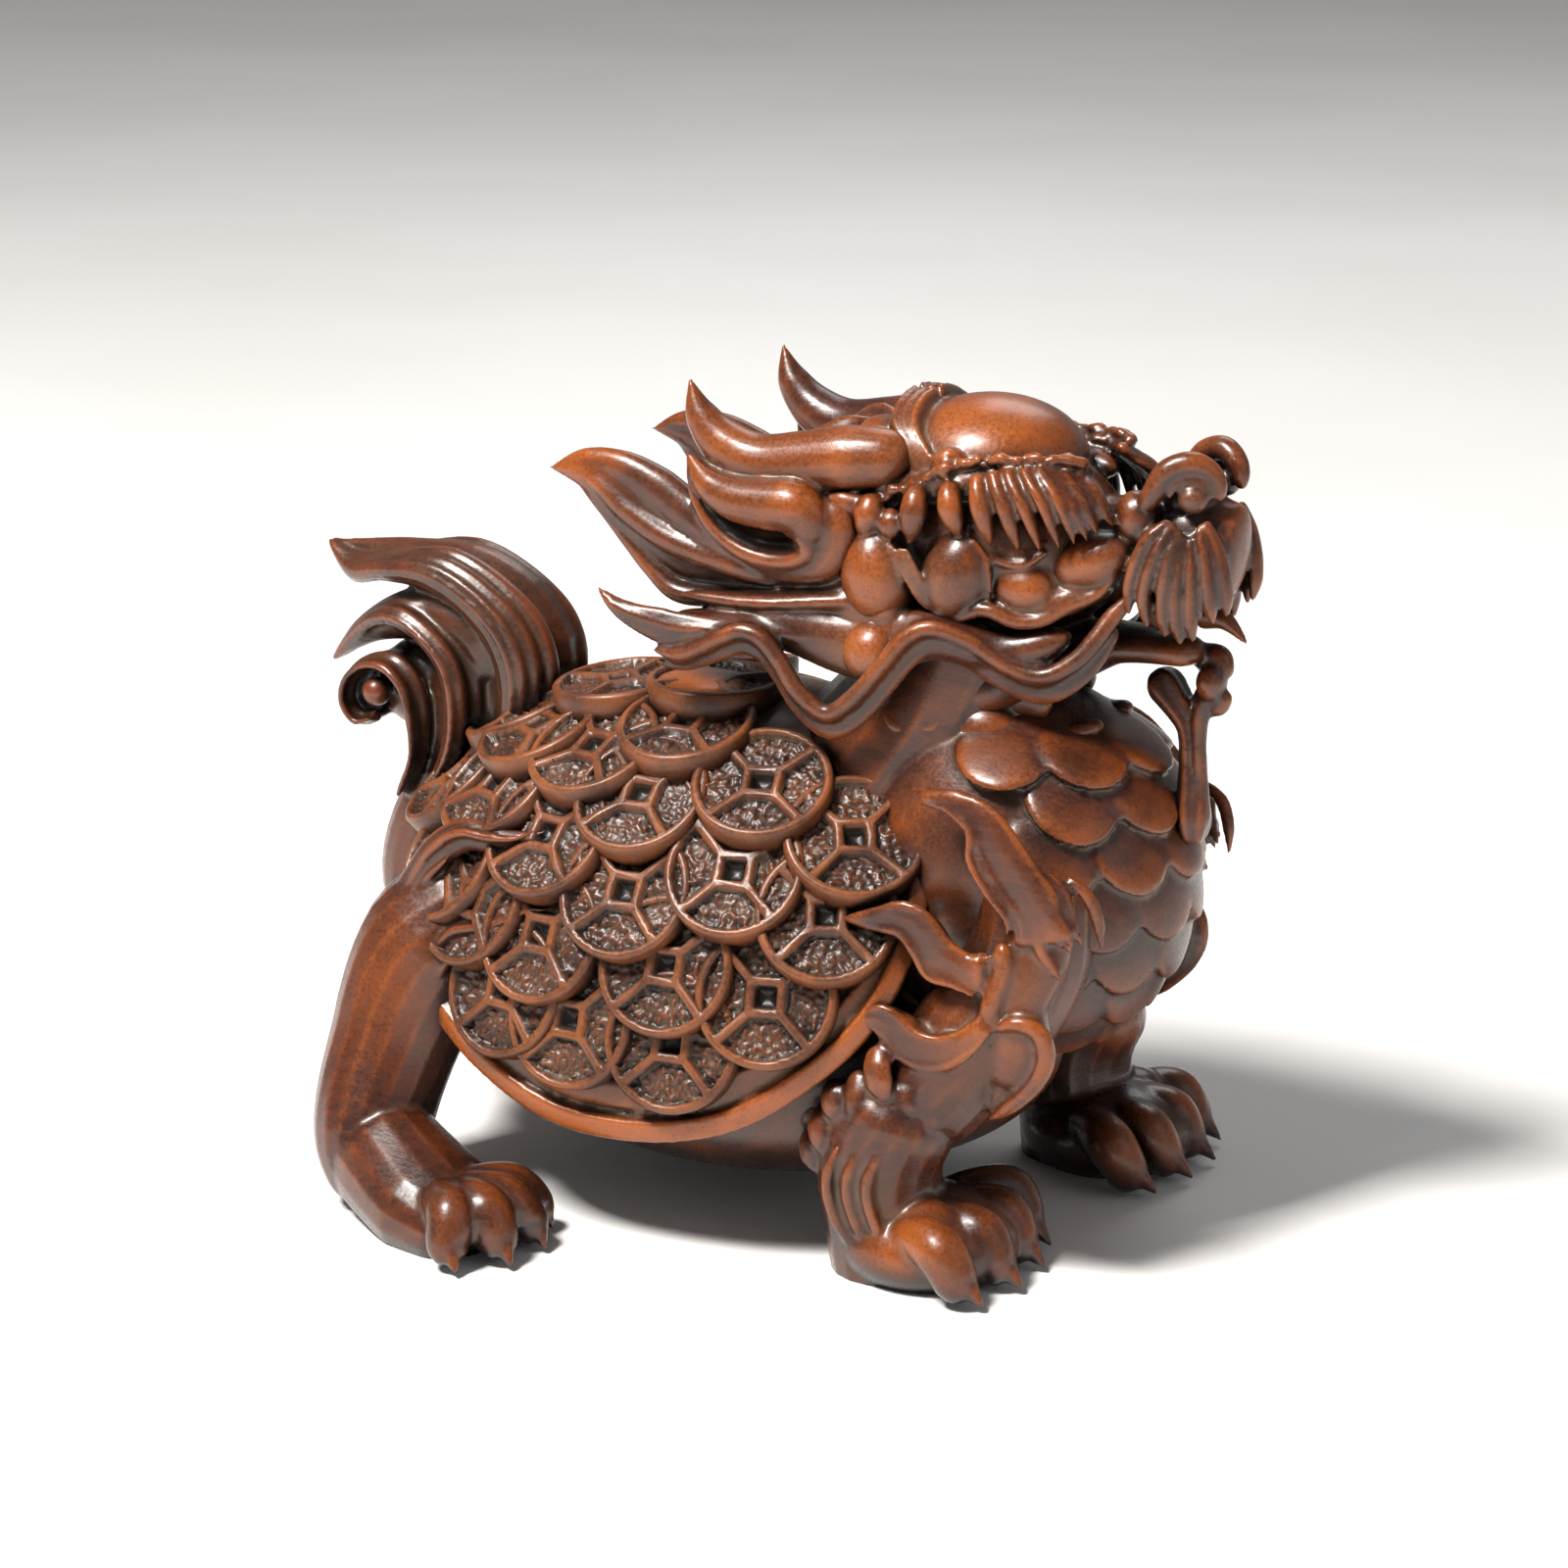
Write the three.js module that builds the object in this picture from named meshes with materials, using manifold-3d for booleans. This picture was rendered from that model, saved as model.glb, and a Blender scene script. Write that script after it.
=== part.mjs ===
// A carved boxwood dragon turtle: a dragon's head on a turtle whose shell is tiled with old coins, a scaled
// chest, four clawed paws and a curled plume of a tail, all cut from one block of wood.
// Millimetres. +X is the way the animal faces, +Y its left, +Z up, and Z = 0 is the ground under its paws.
import * as THREE from 'three';
import { mergeVertices } from 'three/addons/utils/BufferGeometryUtils.js';
import Module from 'manifold-3d';

const wasm = await Module();
wasm.setup();

// The forms are drawn with the shell's ridge on Y = 0. This is the middle of the carving's length there.
const MIDDLE_X = -5.8;
const GROUND = 0;

// Shell: a dome with slightly squared sides, cut off in front by the shoulders and below by its rim.
const SHELL_MIDDLE = [-8, 0, 15];
const SHELL_RADII = [40, 27.5, 38.5];
const SHELL_SQUARENESS = 2.2;
const SHELL_OUTLINE = [[-50, 40], [-44, 30], [-33, 20], [-22, 15], [-7, 12.5], [7, 16.5], [16, 27], [18, 42], [13, 60]];

// Rim and coins are placed by [station along the shell, lean up its flank in degrees].
const RIM_STATIONS = [
  [-33, 15], [-25, 6], [-16, 1], [-6, 0], [3, 3], [9.5, 9], [15.5, 20], [18, 32], [18, 52], [14, 72],
];
const RIM_HALF_WIDTH = 1.2;
const RIM_HALF_DEPTH = 1.5;
const OPEN_COINS = [
  [-13.8, 13], [-2.4, 12], [-18.1, 25], [-3.7, 23], [6.8, 21], [-9.2, 33], [1.8, 39], [11.3, 36], [-10.1, 49], [1.9, 55],
];
const EDGE_COINS = [[-22, 16], [-19.5, 41], [12, 51], [-17.5, 58], [-28, 52]];
const RIDGE_COINS = [[-31, 80], [-20, 80], [-9, 80]];
const COIN = { radius: 7.2, thickness: 1.7, foot: 3.4, tilt: 9.4, rim: 0.8, arm: 0.3, hole: 1, frame: 2, dish: 0.8 };
const COIN_SIDES = 10;
const PLAIN_COIN_SIDES = 8;

// Chest: a ball of scales. Its rows and the scales in a row are spaced in degrees round its middle.
const CHEST_MIDDLE = [22.5, 0, 38];
const CHEST_RADII = [18.6, 16.4, 21];
const CHEST_ROWS = 5;
const CHEST_TOP_ROW = 46;
const CHEST_ROW_STEP = 19;
const CHEST_PER_ROW = 5;
const CHEST_TURN = 28;
const SCALE = { halfDepth: 2.2, sunk: 1.1, halfWidth: 4.8, halfHeight: 4.8, lean: 14 };

// Paws: the far front one is a little ahead of the near one.
const FRONT_STEP = 4.5;
const FRONT_CLAWS = [[31.4, 27], [33, 21], [32.8, 14.8], [31, 9]];
const HIND_CLAWS = [[-19.4, 42], [-15.4, 38], [-14.6, 32.4], [-16.6, 27.4]];
const CLAW_TIP = 0.4;

const BROW_STRANDS = 5;

// Flame curls: the points of each, and its half-width at the root. The far side keeps only the large ones.
const LARGE_CURLS = [
  [[[33, 18.6, 23], [33, 20, 35], [32.6, 19.6, 43], [29.4, 19.2, 47], [25, 18.4, 49.6], [20, 17.6, 48.6]], 5],
  [[[33, 19.2, 30], [29, 20.8, 35.4], [23.8, 21.6, 38.2], [19, 21.6, 39.8], [14, 21.2, 38.4]], 3.4],
  [[[-38, 19, 18], [-38.4, 20, 28], [-34.5, 21.6, 33.6], [-29.7, 22, 37.6], [-24.6, 22, 38.6], [-20.4, 22, 40]], 4.4],
  [[[-37, 21, 19], [-32.6, 23.4, 25.6], [-28.6, 24.6, 30], [-24.4, 25, 31.6], [-17.8, 25.6, 34.5]], 3.6],
];
const SMALL_CURLS = [
  [[[32, 19.2, 25], [28.2, 21.2, 28.4], [24, 22, 25.2], [20, 22, 26.2], [16, 21.6, 28.6]], 4],
  [[[-38.5, 23, 19], [-34.5, 25, 14.6], [-31, 26, 14.4], [-29, 26, 16.6]], 2.6],
];
const CURL_TAPER = [1, 0.92, 0.7, 0.6, 0.42, 0.1];

const NEAR = -1;
const FAR = 1;
const UP = [0, 0, 1];
const ALONG = [1, 0, 0];

// Puts a point given by its distance out from the ridge on the near or the far side.
const on = (side) => ([x, out, z]) => [x, side * out, z];

// Reads a list of evenly spaced values at a share of its length.
function read(values, share) {
  const spot = share * (values.length - 1);
  const low = Math.min(Math.floor(spot), values.length - 2);
  return THREE.MathUtils.lerp(values[low], values[low + 1], spot - low);
}

// Turns a closed geometry into a solid that can be joined and cut.
function solid(shape) {
  shape.deleteAttribute('normal');
  shape.deleteAttribute('uv');
  const closed = mergeVertices(shape, 1e-4);
  const vertProperties = new Float32Array(closed.attributes.position.array);
  const triVerts = new Uint32Array(closed.index.array);
  return new wasm.Manifold(new wasm.Mesh({ numProp: 3, vertProperties, triVerts }));
}

// The faces of a solid.
function geometryOf(whole) {
  const mesh = whole.getMesh();
  const shape = new THREE.BufferGeometry();
  shape.setAttribute('position', new THREE.BufferAttribute(mesh.vertProperties, 3));
  shape.setIndex(new THREE.BufferAttribute(mesh.triVerts, 1));
  return shape;
}

// A ball stretched to three radii, leaned about Y, turned about Z and moved to its middle.
function ball(middle, radii, { lean = 0, turn = 0, sides = 6, rows = 4 } = {}) {
  const shape = new THREE.SphereGeometry(1, sides, rows);
  shape.rotateX(Math.PI / 2);
  shape.scale(...radii);
  shape.rotateY(THREE.MathUtils.degToRad(lean));
  shape.rotateZ(THREE.MathUtils.degToRad(turn));
  shape.translate(...middle);
  return solid(shape);
}

// A form drawn out along a curve, with a half-width and a half-depth at each of its points. The depth lies
// along the given direction, or away from a heart point where one is given.
function drawn(path, widths, { depths = widths, thin = [0, 1, 0], heart, sides = 6, steps = 5 } = {}) {
  const curve = new THREE.CatmullRomCurve3(path.map((p) => new THREE.Vector3(...p)), false, 'centripetal');
  const shape = new THREE.SphereGeometry(1, sides, steps);
  const points = shape.attributes.position;
  for (let i = 0; i < points.count; i += 1) {
    const start = new THREE.Vector3().fromBufferAttribute(points, i);
    const along = Math.acos(THREE.MathUtils.clamp(start.y, -1, 1)) / Math.PI;
    const isEnd = Math.hypot(start.x, start.z) < 1e-6;
    const around = Math.atan2(start.z, start.x) + (heart ? Math.PI / sides : 0);
    const ahead = curve.getTangent(along);
    const point = curve.getPoint(along);
    const depthWay = heart ? point.clone().sub(new THREE.Vector3(...heart)) : new THREE.Vector3(...thin);
    depthWay.addScaledVector(ahead, -depthWay.dot(ahead)).normalize();
    const widthWay = new THREE.Vector3().crossVectors(depthWay, ahead);
    if (!isEnd) {
      point.addScaledVector(widthWay, read(widths, along) * Math.cos(around));
      point.addScaledVector(depthWay, read(depths, along) * Math.sin(around));
    }
    points.setXYZ(i, point.x, point.y, point.z);
  }
  return solid(shape);
}

// Many solids joined into one.
const join = (solids) => solids.reduce((whole, piece) => whole.add(piece));

// The place on the shell at a station and a lean, and which way is out there.
function shellSpot(station, lean, side) {
  const n = SHELL_SQUARENESS;
  const angle = THREE.MathUtils.degToRad(lean);
  const x = (station - SHELL_MIDDLE[0]) / SHELL_RADII[0];
  const ring = (1 - Math.abs(x) ** n) ** (1 / n);
  const c = Math.cos(angle);
  const s = Math.sin(angle);
  const reach = ring / (Math.abs(c) ** n + Math.abs(s) ** n) ** (1 / n);
  const unit = [x, side * c * reach, s * reach];
  const at = unit.map((value, axis) => SHELL_MIDDLE[axis] + value * SHELL_RADII[axis]);
  const out = unit.map((value, axis) => (Math.sign(value) * Math.abs(value) ** (n - 1)) / SHELL_RADII[axis]);
  return { at: new THREE.Vector3(...at), out: new THREE.Vector3(...out).normalize() };
}

function shellDome() {
  const n = SHELL_SQUARENESS;
  const shape = new THREE.SphereGeometry(1, 15, 10);
  shape.rotateX(Math.PI / 2);
  const points = shape.attributes.position;
  for (let i = 0; i < points.count; i += 1) {
    const unit = [points.getX(i), points.getY(i), points.getZ(i)];
    const reach = unit.reduce((sum, value) => sum + Math.abs(value) ** n, 0) ** (-1 / n);
    const place = unit.map((value, axis) => SHELL_MIDDLE[axis] + value * reach * SHELL_RADII[axis]);
    points.setXYZ(i, ...place);
  }
  const outline = new THREE.Shape(SHELL_OUTLINE.map((p) => new THREE.Vector2(...p)));
  outline.lineTo(SHELL_OUTLINE[0][0], 60);
  const width = 3 * SHELL_RADII[1];
  const cutter = new THREE.ExtrudeGeometry(outline, { depth: width, bevelEnabled: false });
  cutter.rotateX(Math.PI / 2);
  cutter.translate(0, width / 2, 0);
  return solid(shape).intersect(solid(cutter));
}

// The raised band round the shell's edge: along one flank, up its front, over the neck and down again.
function shellRim() {
  const edge = (side) => RIM_STATIONS.map(([station, lean]) => shellSpot(station, lean, side).at.toArray());
  const path = [...edge(NEAR), ...edge(FAR).reverse()];
  const square = Math.SQRT2;
  return drawn(path, [RIM_HALF_WIDTH * square, RIM_HALF_WIDTH * square], {
    depths: [RIM_HALF_DEPTH * square, RIM_HALF_DEPTH * square],
    heart: SHELL_MIDDLE,
    sides: 4,
    steps: 22,
  });
}

// The shape of a coin: a round with a square hole and dished fields between the arms that meet round the
// hole. The field at its head lies under the coin above, so it isn't cut.
function dishedCoin() {
  const height = COIN.thickness + COIN.foot;
  const round = new THREE.CylinderGeometry(COIN.radius, COIN.radius, height, COIN_SIDES);
  round.translate(0, height / 2 - COIN.foot, 0);
  let whole = solid(round);
  const reach = COIN.radius - COIN.rim;
  const spread = Math.PI / 4 - COIN.arm / COIN.frame;
  for (const quarter of [0, 1, 2]) {
    const corners = [[COIN.frame, 0], [reach * Math.cos(spread), -reach * Math.sin(spread)]];
    corners.push([reach * Math.cos(spread), reach * Math.sin(spread)]);
    const field = new THREE.Shape(corners.map((p) => new THREE.Vector2(...p)));
    const dish = new THREE.ExtrudeGeometry(field, { depth: 2 * COIN.dish, bevelEnabled: false });
    dish.rotateX(-Math.PI / 2);
    dish.rotateY((quarter * Math.PI) / 2);
    dish.translate(0, COIN.thickness - COIN.dish, 0);
    whole = whole.subtract(solid(dish));
  }
  const hole = new THREE.BoxGeometry(2 * COIN.hole, 2 * COIN.dish, 2 * COIN.hole);
  hole.translate(0, COIN.thickness, 0);
  return geometryOf(whole.subtract(solid(hole)));
}

// The far flank, the ridge and the flank's edges have plain rounds.
function plainCoin() {
  const height = COIN.thickness + COIN.foot;
  const round = new THREE.CylinderGeometry(COIN.radius, COIN.radius, height, PLAIN_COIN_SIDES);
  return round.translate(0, height / 2 - COIN.foot, 0);
}

// Lays a coin on the shell, leaning out at its foot so that it laps over the ones below.
function coin(shape, station, lean, side) {
  const { at, out } = shellSpot(station, lean, side);
  const rise = new THREE.Vector3(...UP);
  rise.addScaledVector(out, -rise.dot(out)).normalize();
  const across = new THREE.Vector3().crossVectors(out, rise);
  const tilt = THREE.MathUtils.degToRad(COIN.tilt);
  rise.applyAxisAngle(across, tilt);
  const face = out.clone().applyAxisAngle(across, tilt);
  const frame = new THREE.Matrix4().makeBasis(new THREE.Vector3().crossVectors(face, rise), face, rise);
  frame.setPosition(at);
  return solid(shape.clone().applyMatrix4(frame));
}

function shell() {
  const plain = plainCoin();
  const dished = dishedCoin();
  const coins = OPEN_COINS.map(([station, lean]) => coin(dished, station, lean, NEAR));
  for (const [station, lean] of [...RIDGE_COINS, ...EDGE_COINS]) {
    coins.push(coin(plain, station, lean, NEAR));
  }
  for (const [station, lean] of OPEN_COINS) {
    coins.push(coin(plain, station, lean, FAR));
  }
  return join([shellDome(), shellRim(), ...coins]);
}

// The underside, the chest, the neck inside the shell's front and the rump under its rear edge.
function trunk() {
  return join([
    ball([-6, 0, 17], [33, 24.5, 14.5], { sides: 12, rows: 6 }),
    ball(CHEST_MIDDLE, CHEST_RADII, { sides: 10, rows: 6 }),
    drawn([[8, 0, 42], [16, 0, 54], [21, 0, 68]], [13, 11, 9], { sides: 8, steps: 4 }),
    ball([-32, 0, 24], [15, 19, 14], { sides: 8, rows: 5 }),
  ]);
}

// Lapped half-moon scales down the chest, in rows that follow its roundness.
function chestScales() {
  const scales = [];
  for (let row = 0; row < CHEST_ROWS; row += 1) {
    const rise = CHEST_TOP_ROW - row * CHEST_ROW_STEP;
    const count = row % 2 ? CHEST_PER_ROW - 1 : CHEST_PER_ROW;
    for (let i = 0; i < count; i += 1) {
      const turn = (i - (count - 1) / 2) * CHEST_TURN;
      const up = THREE.MathUtils.degToRad(rise);
      const round = THREE.MathUtils.degToRad(turn);
      const out = [Math.cos(up) * Math.cos(round), Math.cos(up) * Math.sin(round), Math.sin(up)];
      const at = out.map((value, axis) => CHEST_MIDDLE[axis] + value * (CHEST_RADII[axis] - SCALE.sunk));
      const radii = [SCALE.halfDepth, SCALE.halfWidth, SCALE.halfHeight];
      scales.push(ball(at, radii, { lean: -rise - SCALE.lean, turn, sides: 5, rows: 2 }));
    }
  }
  return join(scales);
}

function frontLeg(side) {
  const at = on(side);
  const step = side === FAR ? FRONT_STEP : 0;
  const ahead = ([x, out, z]) => at([x + step, out, z]);
  const leg = [
    drawn([[31, 11, 42], [31, 14, 32], [26, 17.6, 24], [18.3, 19.4, 15]].map(at), [6, 7, 6.8, 6.2], { steps: 4 }),
    drawn([[21, 20, 20], [17, 20, 12], [17.4, 19.6, 5], [18.4, 19, -3]].map(ahead), [6, 6.4, 6.2, 6.2], { steps: 4 }),
    ball(ahead([21.5, 18.6, 3.4]), [9.6, 9, 5.4], { rows: 4 }),
  ];
  for (const [x, out] of FRONT_CLAWS) {
    const path = [[20, out / 2 + 9.5, 5], [x - 5, out - 0.6, 5.6], [x - 1.6, out - 0.2, 2.6], [x, out, CLAW_TIP]];
    leg.push(drawn(path.map(ahead), [2.4, 2.9, 1.9, 0.3], { thin: UP, sides: 4, steps: 3 }));
  }
  return join(leg);
}

function hindLeg(side) {
  const at = on(side);
  const leg = [
    drawn([[-26, 14, 34], [-35, 18, 26], [-38, 22.5, 16], [-38, 27, 7], [-35, 28, 1]].map(at), [7, 9, 7.4, 6.4, 5]),
    drawn([[-42, 25.4, 8], [-35, 28.6, 5.4], [-28, 31.6, 3], [-20, 34.6, 1.4]].map(at), [4.6, 6.2, 7.2, 5.6], {
      depths: [4.6, 6.6, 5.6, 4],
      thin: UP,
      steps: 4,
    }),
  ];
  for (const [x, out] of HIND_CLAWS) {
    const knuckle = [x * 0.62 - 10, out * 0.62 + 12.4, 5.4];
    const path = [[-27, 33, 4], knuckle, [x - 1.2, out - 0.8, 2.6], [x, out, CLAW_TIP]];
    leg.push(drawn(path.map(at), [2.2, 2.7, 1.8, 0.3], { thin: UP, sides: 4, steps: 3 }));
  }
  return join(leg);
}

// Flame curls that sweep back over the shell from each shoulder, and up from each haunch.
function flames(side) {
  const small = side === NEAR ? SMALL_CURLS : [];
  const curls = [...LARGE_CURLS, ...small];
  return join(curls.map(([path, root]) => {
    const widths = CURL_TAPER.map((share) => share * root);
    const depths = widths.map((width) => 0.62 * width);
    return drawn(path.map(on(side)), widths, { depths, sides: 4, steps: path.length });
  }));
}

// The plume: a stem from the rump that swells, curls over to the back, and ends in two tips and a spiral.
function tail() {
  const stem = [[-40, 0, 18], [-46.6, 0, 27], [-43.6, 0, 38], [-37, 0.5, 46]];
  const plume = [[-34.6, 0.5, 54], [-39, 0, 60], [-47, -0.6, 62.2], [-57.6, -1, 64.2]];
  const lower = [[-36, 0, 50], [-38, -1, 55], [-44, -2, 57], [-50.6, -2.6, 54.8], [-56.8, -2.6, 51.6]];
  const spiral = [
    [-39, -1, 45], [-44.6, -3, 44.4], [-49, -4, 45.6], [-50.6, -4.4, 49], [-47.6, -4.4, 51.6], [-45, -4.2, 49.4],
  ];
  return join([
    drawn([...stem, ...plume], [5, 5.4, 5, 7, 8, 5.8, 3.6, 0.4], {
      depths: [5, 5.6, 5.6, 6.6, 7, 6, 3.6, 0.4],
      sides: 6,
      steps: 9,
    }),
    drawn(lower, [6, 6, 4, 2.4, 0.4]),
    drawn(spiral, [4, 3, 2.2, 1.9, 1.8, 1.4], { sides: 4, steps: 8 }),
    ball([-47.8, -4.6, 48.6], [1.9, 3, 1.9]),
    ball([-46, 0, 49], [5, 4.6, 5]),
  ]);
}

// Skull, forehead, snout, nose, jaw, chin and the beard that runs down to the chest.
function headCore() {
  const beard = [[41.6, 0, 61], [40.2, 0, 55], [41, 0, 49], [41.6, 0, 43], [39, 0, 36]];
  const strap = [[13, -10, 76], [11, -7, 82], [10.6, 0, 84.6], [11, 7, 82], [13, 10, 76]];
  return join([
    ball([19.5, 0, 72], [14.5, 10.4, 11], { sides: 8, rows: 6 }),
    ball([19.6, 0, 79.6], [9.6, 8.6, 6.2], { sides: 9, rows: 5 }),
    drawn([[22, 0, 71], [33, 0, 71.5], [42, 0, 72.4], [46, 0, 72]], [8.4, 6.6, 5.2, 3.8], {
      depths: [7.4, 5.6, 5.8, 5],
      thin: UP,
      sides: 6,
      steps: 4,
    }),
    ball([41, 0, 77.4], [3.6, 3.8, 4.2]),
    drawn([[14, 0, 60], [24, 0, 60], [34, 0, 61.4], [42.4, 0, 60.6]], [8.4, 8.4, 5.6, 3], {
      depths: [6, 5.6, 3.2, 2.2],
      thin: UP,
      sides: 6,
      steps: 4,
    }),
    drawn(beard, [3, 2, 1.8, 2.6, 2], { sides: 4 }),
    ball([43.4, 0, 57.4], [1.6, 2.8, 2.2], { sides: 5 }),
    drawn(strap, [1.6, 1.8, 1.8, 1.8, 1.6], { thin: ALONG, sides: 4 }),
  ]);
}

// The brow with its hanging strands, the eye and cheeks under it, and the nostril with its whiskers.
function face(side) {
  const at = on(side);
  const brow = [[7.1, 10.1, 76.4], [14.1, 10.8, 77.8], [23.3, 10.1, 78.7], [31, 6.6, 77.7]];
  const parts = [
    drawn(brow.map(at), [2.2, 2.8, 2.6, 2], { sides: 5, steps: 5 }),
    ball(at([12.7, 9.8, 69.6]), [3.6, 4, 4.8]),
    ball(at([19.4, 9.4, 69.9]), [3.6, 3.6, 4.8], { lean: 20 }),
    ball(at([12.3, 11.1, 62.6]), [3.4, 3.2, 3.4]),
    ball(at([43.1, 3.3, 76.7]), [2.8, 2.6, 3]),
    drawn([[16.5, 8.6, 64.7], [24.6, 8.6, 63.7], [31.9, 6.9, 65.7], [37.2, 5, 68.5]].map(at), [2.4, 2.4, 2, 1.4], {
      sides: 5,
      steps: 4,
    }),
    drawn([[41.1, 3.6, 76.7], [41.6, 5.3, 71.5], [41, 5.8, 67], [41.6, 5.3, 63.4]].map(at), [2.2, 4.6, 4.4, 1.6], {
      depths: [2, 1.8, 1.6, 0.6],
      steps: 5,
    }),
  ];
  if (side === FAR) return join(parts);
  parts.push(ball(at([26.7, 7.9, 67.2]), [3.4, 3, 2.6]));
  parts.push(ball(at([33.1, 6, 70]), [4, 2.6, 3.2]));
  for (let strand = 0; strand < BROW_STRANDS; strand += 1) {
    const share = strand / (BROW_STRANDS - 1);
    const x = THREE.MathUtils.lerp(11, 30, share);
    const out = THREE.MathUtils.lerp(11.4, 7.2, share ** 2);
    const path = [[x - 1.6, out - 1, 78], [x, out + 0.6, 76], [x + 2.4, out, 72.8]];
    parts.push(drawn(path.map(at), [1.2, 1.6, 0.4], { sides: 3, steps: 3 }));
  }
  return join(parts);
}

// The long lip that waves back past the jaw to a fin, the thin web behind it, and the flat fin above.
function lip(side) {
  const at = on(side);
  const wave = [
    [39, 5.6, 68.5], [34.7, 8.5, 64], [31.3, 9.6, 60.9], [27.6, 10.4, 60.1], [23, 11.5, 62.3], [16.7, 13.3, 64.8],
    [12.8, 14.4, 60.4], [9.1, 14.9, 56], [5.1, 15.5, 58.8], [0.4, 15.7, 63.4], [-5, 15.5, 60.8], [-10.4, 15.7, 59.3],
  ];
  const web = [[30.2, 8, 63.5], [20.9, 10.4, 61.3], [11.6, 12, 60.2], [2.4, 12.8, 62.5], [-4.8, 13.9, 62]];
  const fin = [[10.8, 10.4, 64.3], [-1.6, 13.1, 64.3], [-10.9, 14.1, 64.2], [-17.4, 14.4, 65.4]];
  const leaf = [[32.5, 4.8, 60.3], [24.2, 7.5, 56.9], [16.2, 7.2, 53.9], [9.3, 6.4, 52.5]];
  return join([
    drawn(wave.map(at), [1.5, 1.6, 1.6, 1.6, 1.8, 0.3], { sides: 4, steps: 14 }),
    drawn(web.map(at), [3, 3.4, 4, 3, 1], { depths: [2.6, 2.4, 1.6, 1.4, 0.8], steps: 5 }),
    drawn(fin.map(at), [2.6, 2.6, 1.8, 0.4], { depths: [2, 1.4, 1.2, 0.3], sides: 5, steps: 5 }),
    drawn(leaf.map(at), [2, 3, 3.6, 2], { sides: 5, steps: 4 }),
  ]);
}

// The horn, the comma-shaped lock under it, the mane's broad leaf and the mass behind the jaw.
function mane(side) {
  const at = on(side);
  const leaf = [
    [11.6, 5.9, 69.2], [-0.4, 9.6, 69.1], [-8.8, 10.6, 70.4], [-14.6, 11, 73.4], [-19.8, 11.2, 76], [-24.8, 11.2, 77],
  ];
  const comma = [
    [9.6, 9.9, 71.3], [5.8, 11.2, 68.9], [1, 11.9, 70.4], [-3.6, 12.3, 73.2], [-6.5, 12.5, 76], [-8.1, 12.5, 79.3],
  ];
  const horn = [[15.8, 5.3, 78.4], [8.3, 7.3, 79.7], [-0.3, 9, 79.9], [-5.2, 9.9, 82.9], [-8.6, 10.6, 86.4]];
  return join([
    drawn(leaf.map(at), [6, 4.8, 5, 4, 2, 0.3], { depths: [4, 3, 2.4, 2, 1.4, 0.3] }),
    drawn(comma.map(at), [2.6, 3, 3, 2.8, 1.9, 0.3]),
    drawn(horn.map(at), [3, 3, 2.9, 2.2, 0.3]),
    drawn([[15.3, 6.4, 65.6], [5, 8, 65.5], [-4.3, 10.4, 66.9]].map(at), [7.4, 4.8, 2.5], { steps: 4 }),
  ]);
}

function block(low, high) {
  const size = high.map((value, axis) => value - low[axis]);
  const shape = new THREE.BoxGeometry(...size);
  shape.translate(...low.map((value, axis) => value + size[axis] / 2));
  return solid(shape);
}

function carving() {
  const sides = [NEAR, FAR].map((side) => (
    join([frontLeg(side), hindLeg(side), flames(side), face(side), lip(side), mane(side)])
  ));
  const whole = join([shell(), trunk(), chestScales(), tail(), headCore(), ...sides]);
  return whole.subtract(block([-90, -90, -40], [90, 90, GROUND]));
}

const geometry = geometryOf(carving());
geometry.computeVertexNormals();

const boxwood = new THREE.MeshStandardMaterial({ color: 0x6b2f14, roughness: 0.36, metalness: 0 });
const dragonTurtle = new THREE.Mesh(geometry, boxwood);
dragonTurtle.name = 'dragon_turtle';
dragonTurtle.position.x = -MIDDLE_X;

const group = new THREE.Group();
group.add(dragonTurtle);
export default group;
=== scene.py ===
"""A carved boxwood dragon turtle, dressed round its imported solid.

The animal has a dragon's head and mane, a turtle's shell tiled with old coins, a scaled chest, four clawed
paws and a curled plume of a tail, all of one block of wood. Its forms are drawn in millimetres in the
carver's own frame: +X is the way the animal faces, +Y its left, +Z up, and the shell's ridge is on Y = 0.
"""

import logging
import math
from dataclasses import dataclass, field
from enum import Enum
from typing import Sequence

import bmesh
import bpy
import numpy as np
from mathutils import Matrix, Vector, noise


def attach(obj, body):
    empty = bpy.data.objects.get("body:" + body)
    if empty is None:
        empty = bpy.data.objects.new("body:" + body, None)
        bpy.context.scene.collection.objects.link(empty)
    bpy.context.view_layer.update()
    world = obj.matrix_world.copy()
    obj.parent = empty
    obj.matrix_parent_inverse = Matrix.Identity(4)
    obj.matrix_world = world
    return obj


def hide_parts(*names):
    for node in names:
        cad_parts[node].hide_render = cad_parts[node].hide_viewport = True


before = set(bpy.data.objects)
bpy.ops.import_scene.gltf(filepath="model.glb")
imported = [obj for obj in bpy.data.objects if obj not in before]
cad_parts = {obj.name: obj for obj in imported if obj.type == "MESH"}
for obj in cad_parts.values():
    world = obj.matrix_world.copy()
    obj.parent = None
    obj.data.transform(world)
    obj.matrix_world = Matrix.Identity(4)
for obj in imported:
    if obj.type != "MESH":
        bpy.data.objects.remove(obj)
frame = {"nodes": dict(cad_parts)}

LOG = logging.getLogger("dragon_turtle")
NODE = "dragon_turtle"
MM = 0.001
MIDDLE_X = -5.8
SEED = 7
CRUMB = 400

Point = Sequence[float]
Path = Sequence[Point]


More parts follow.
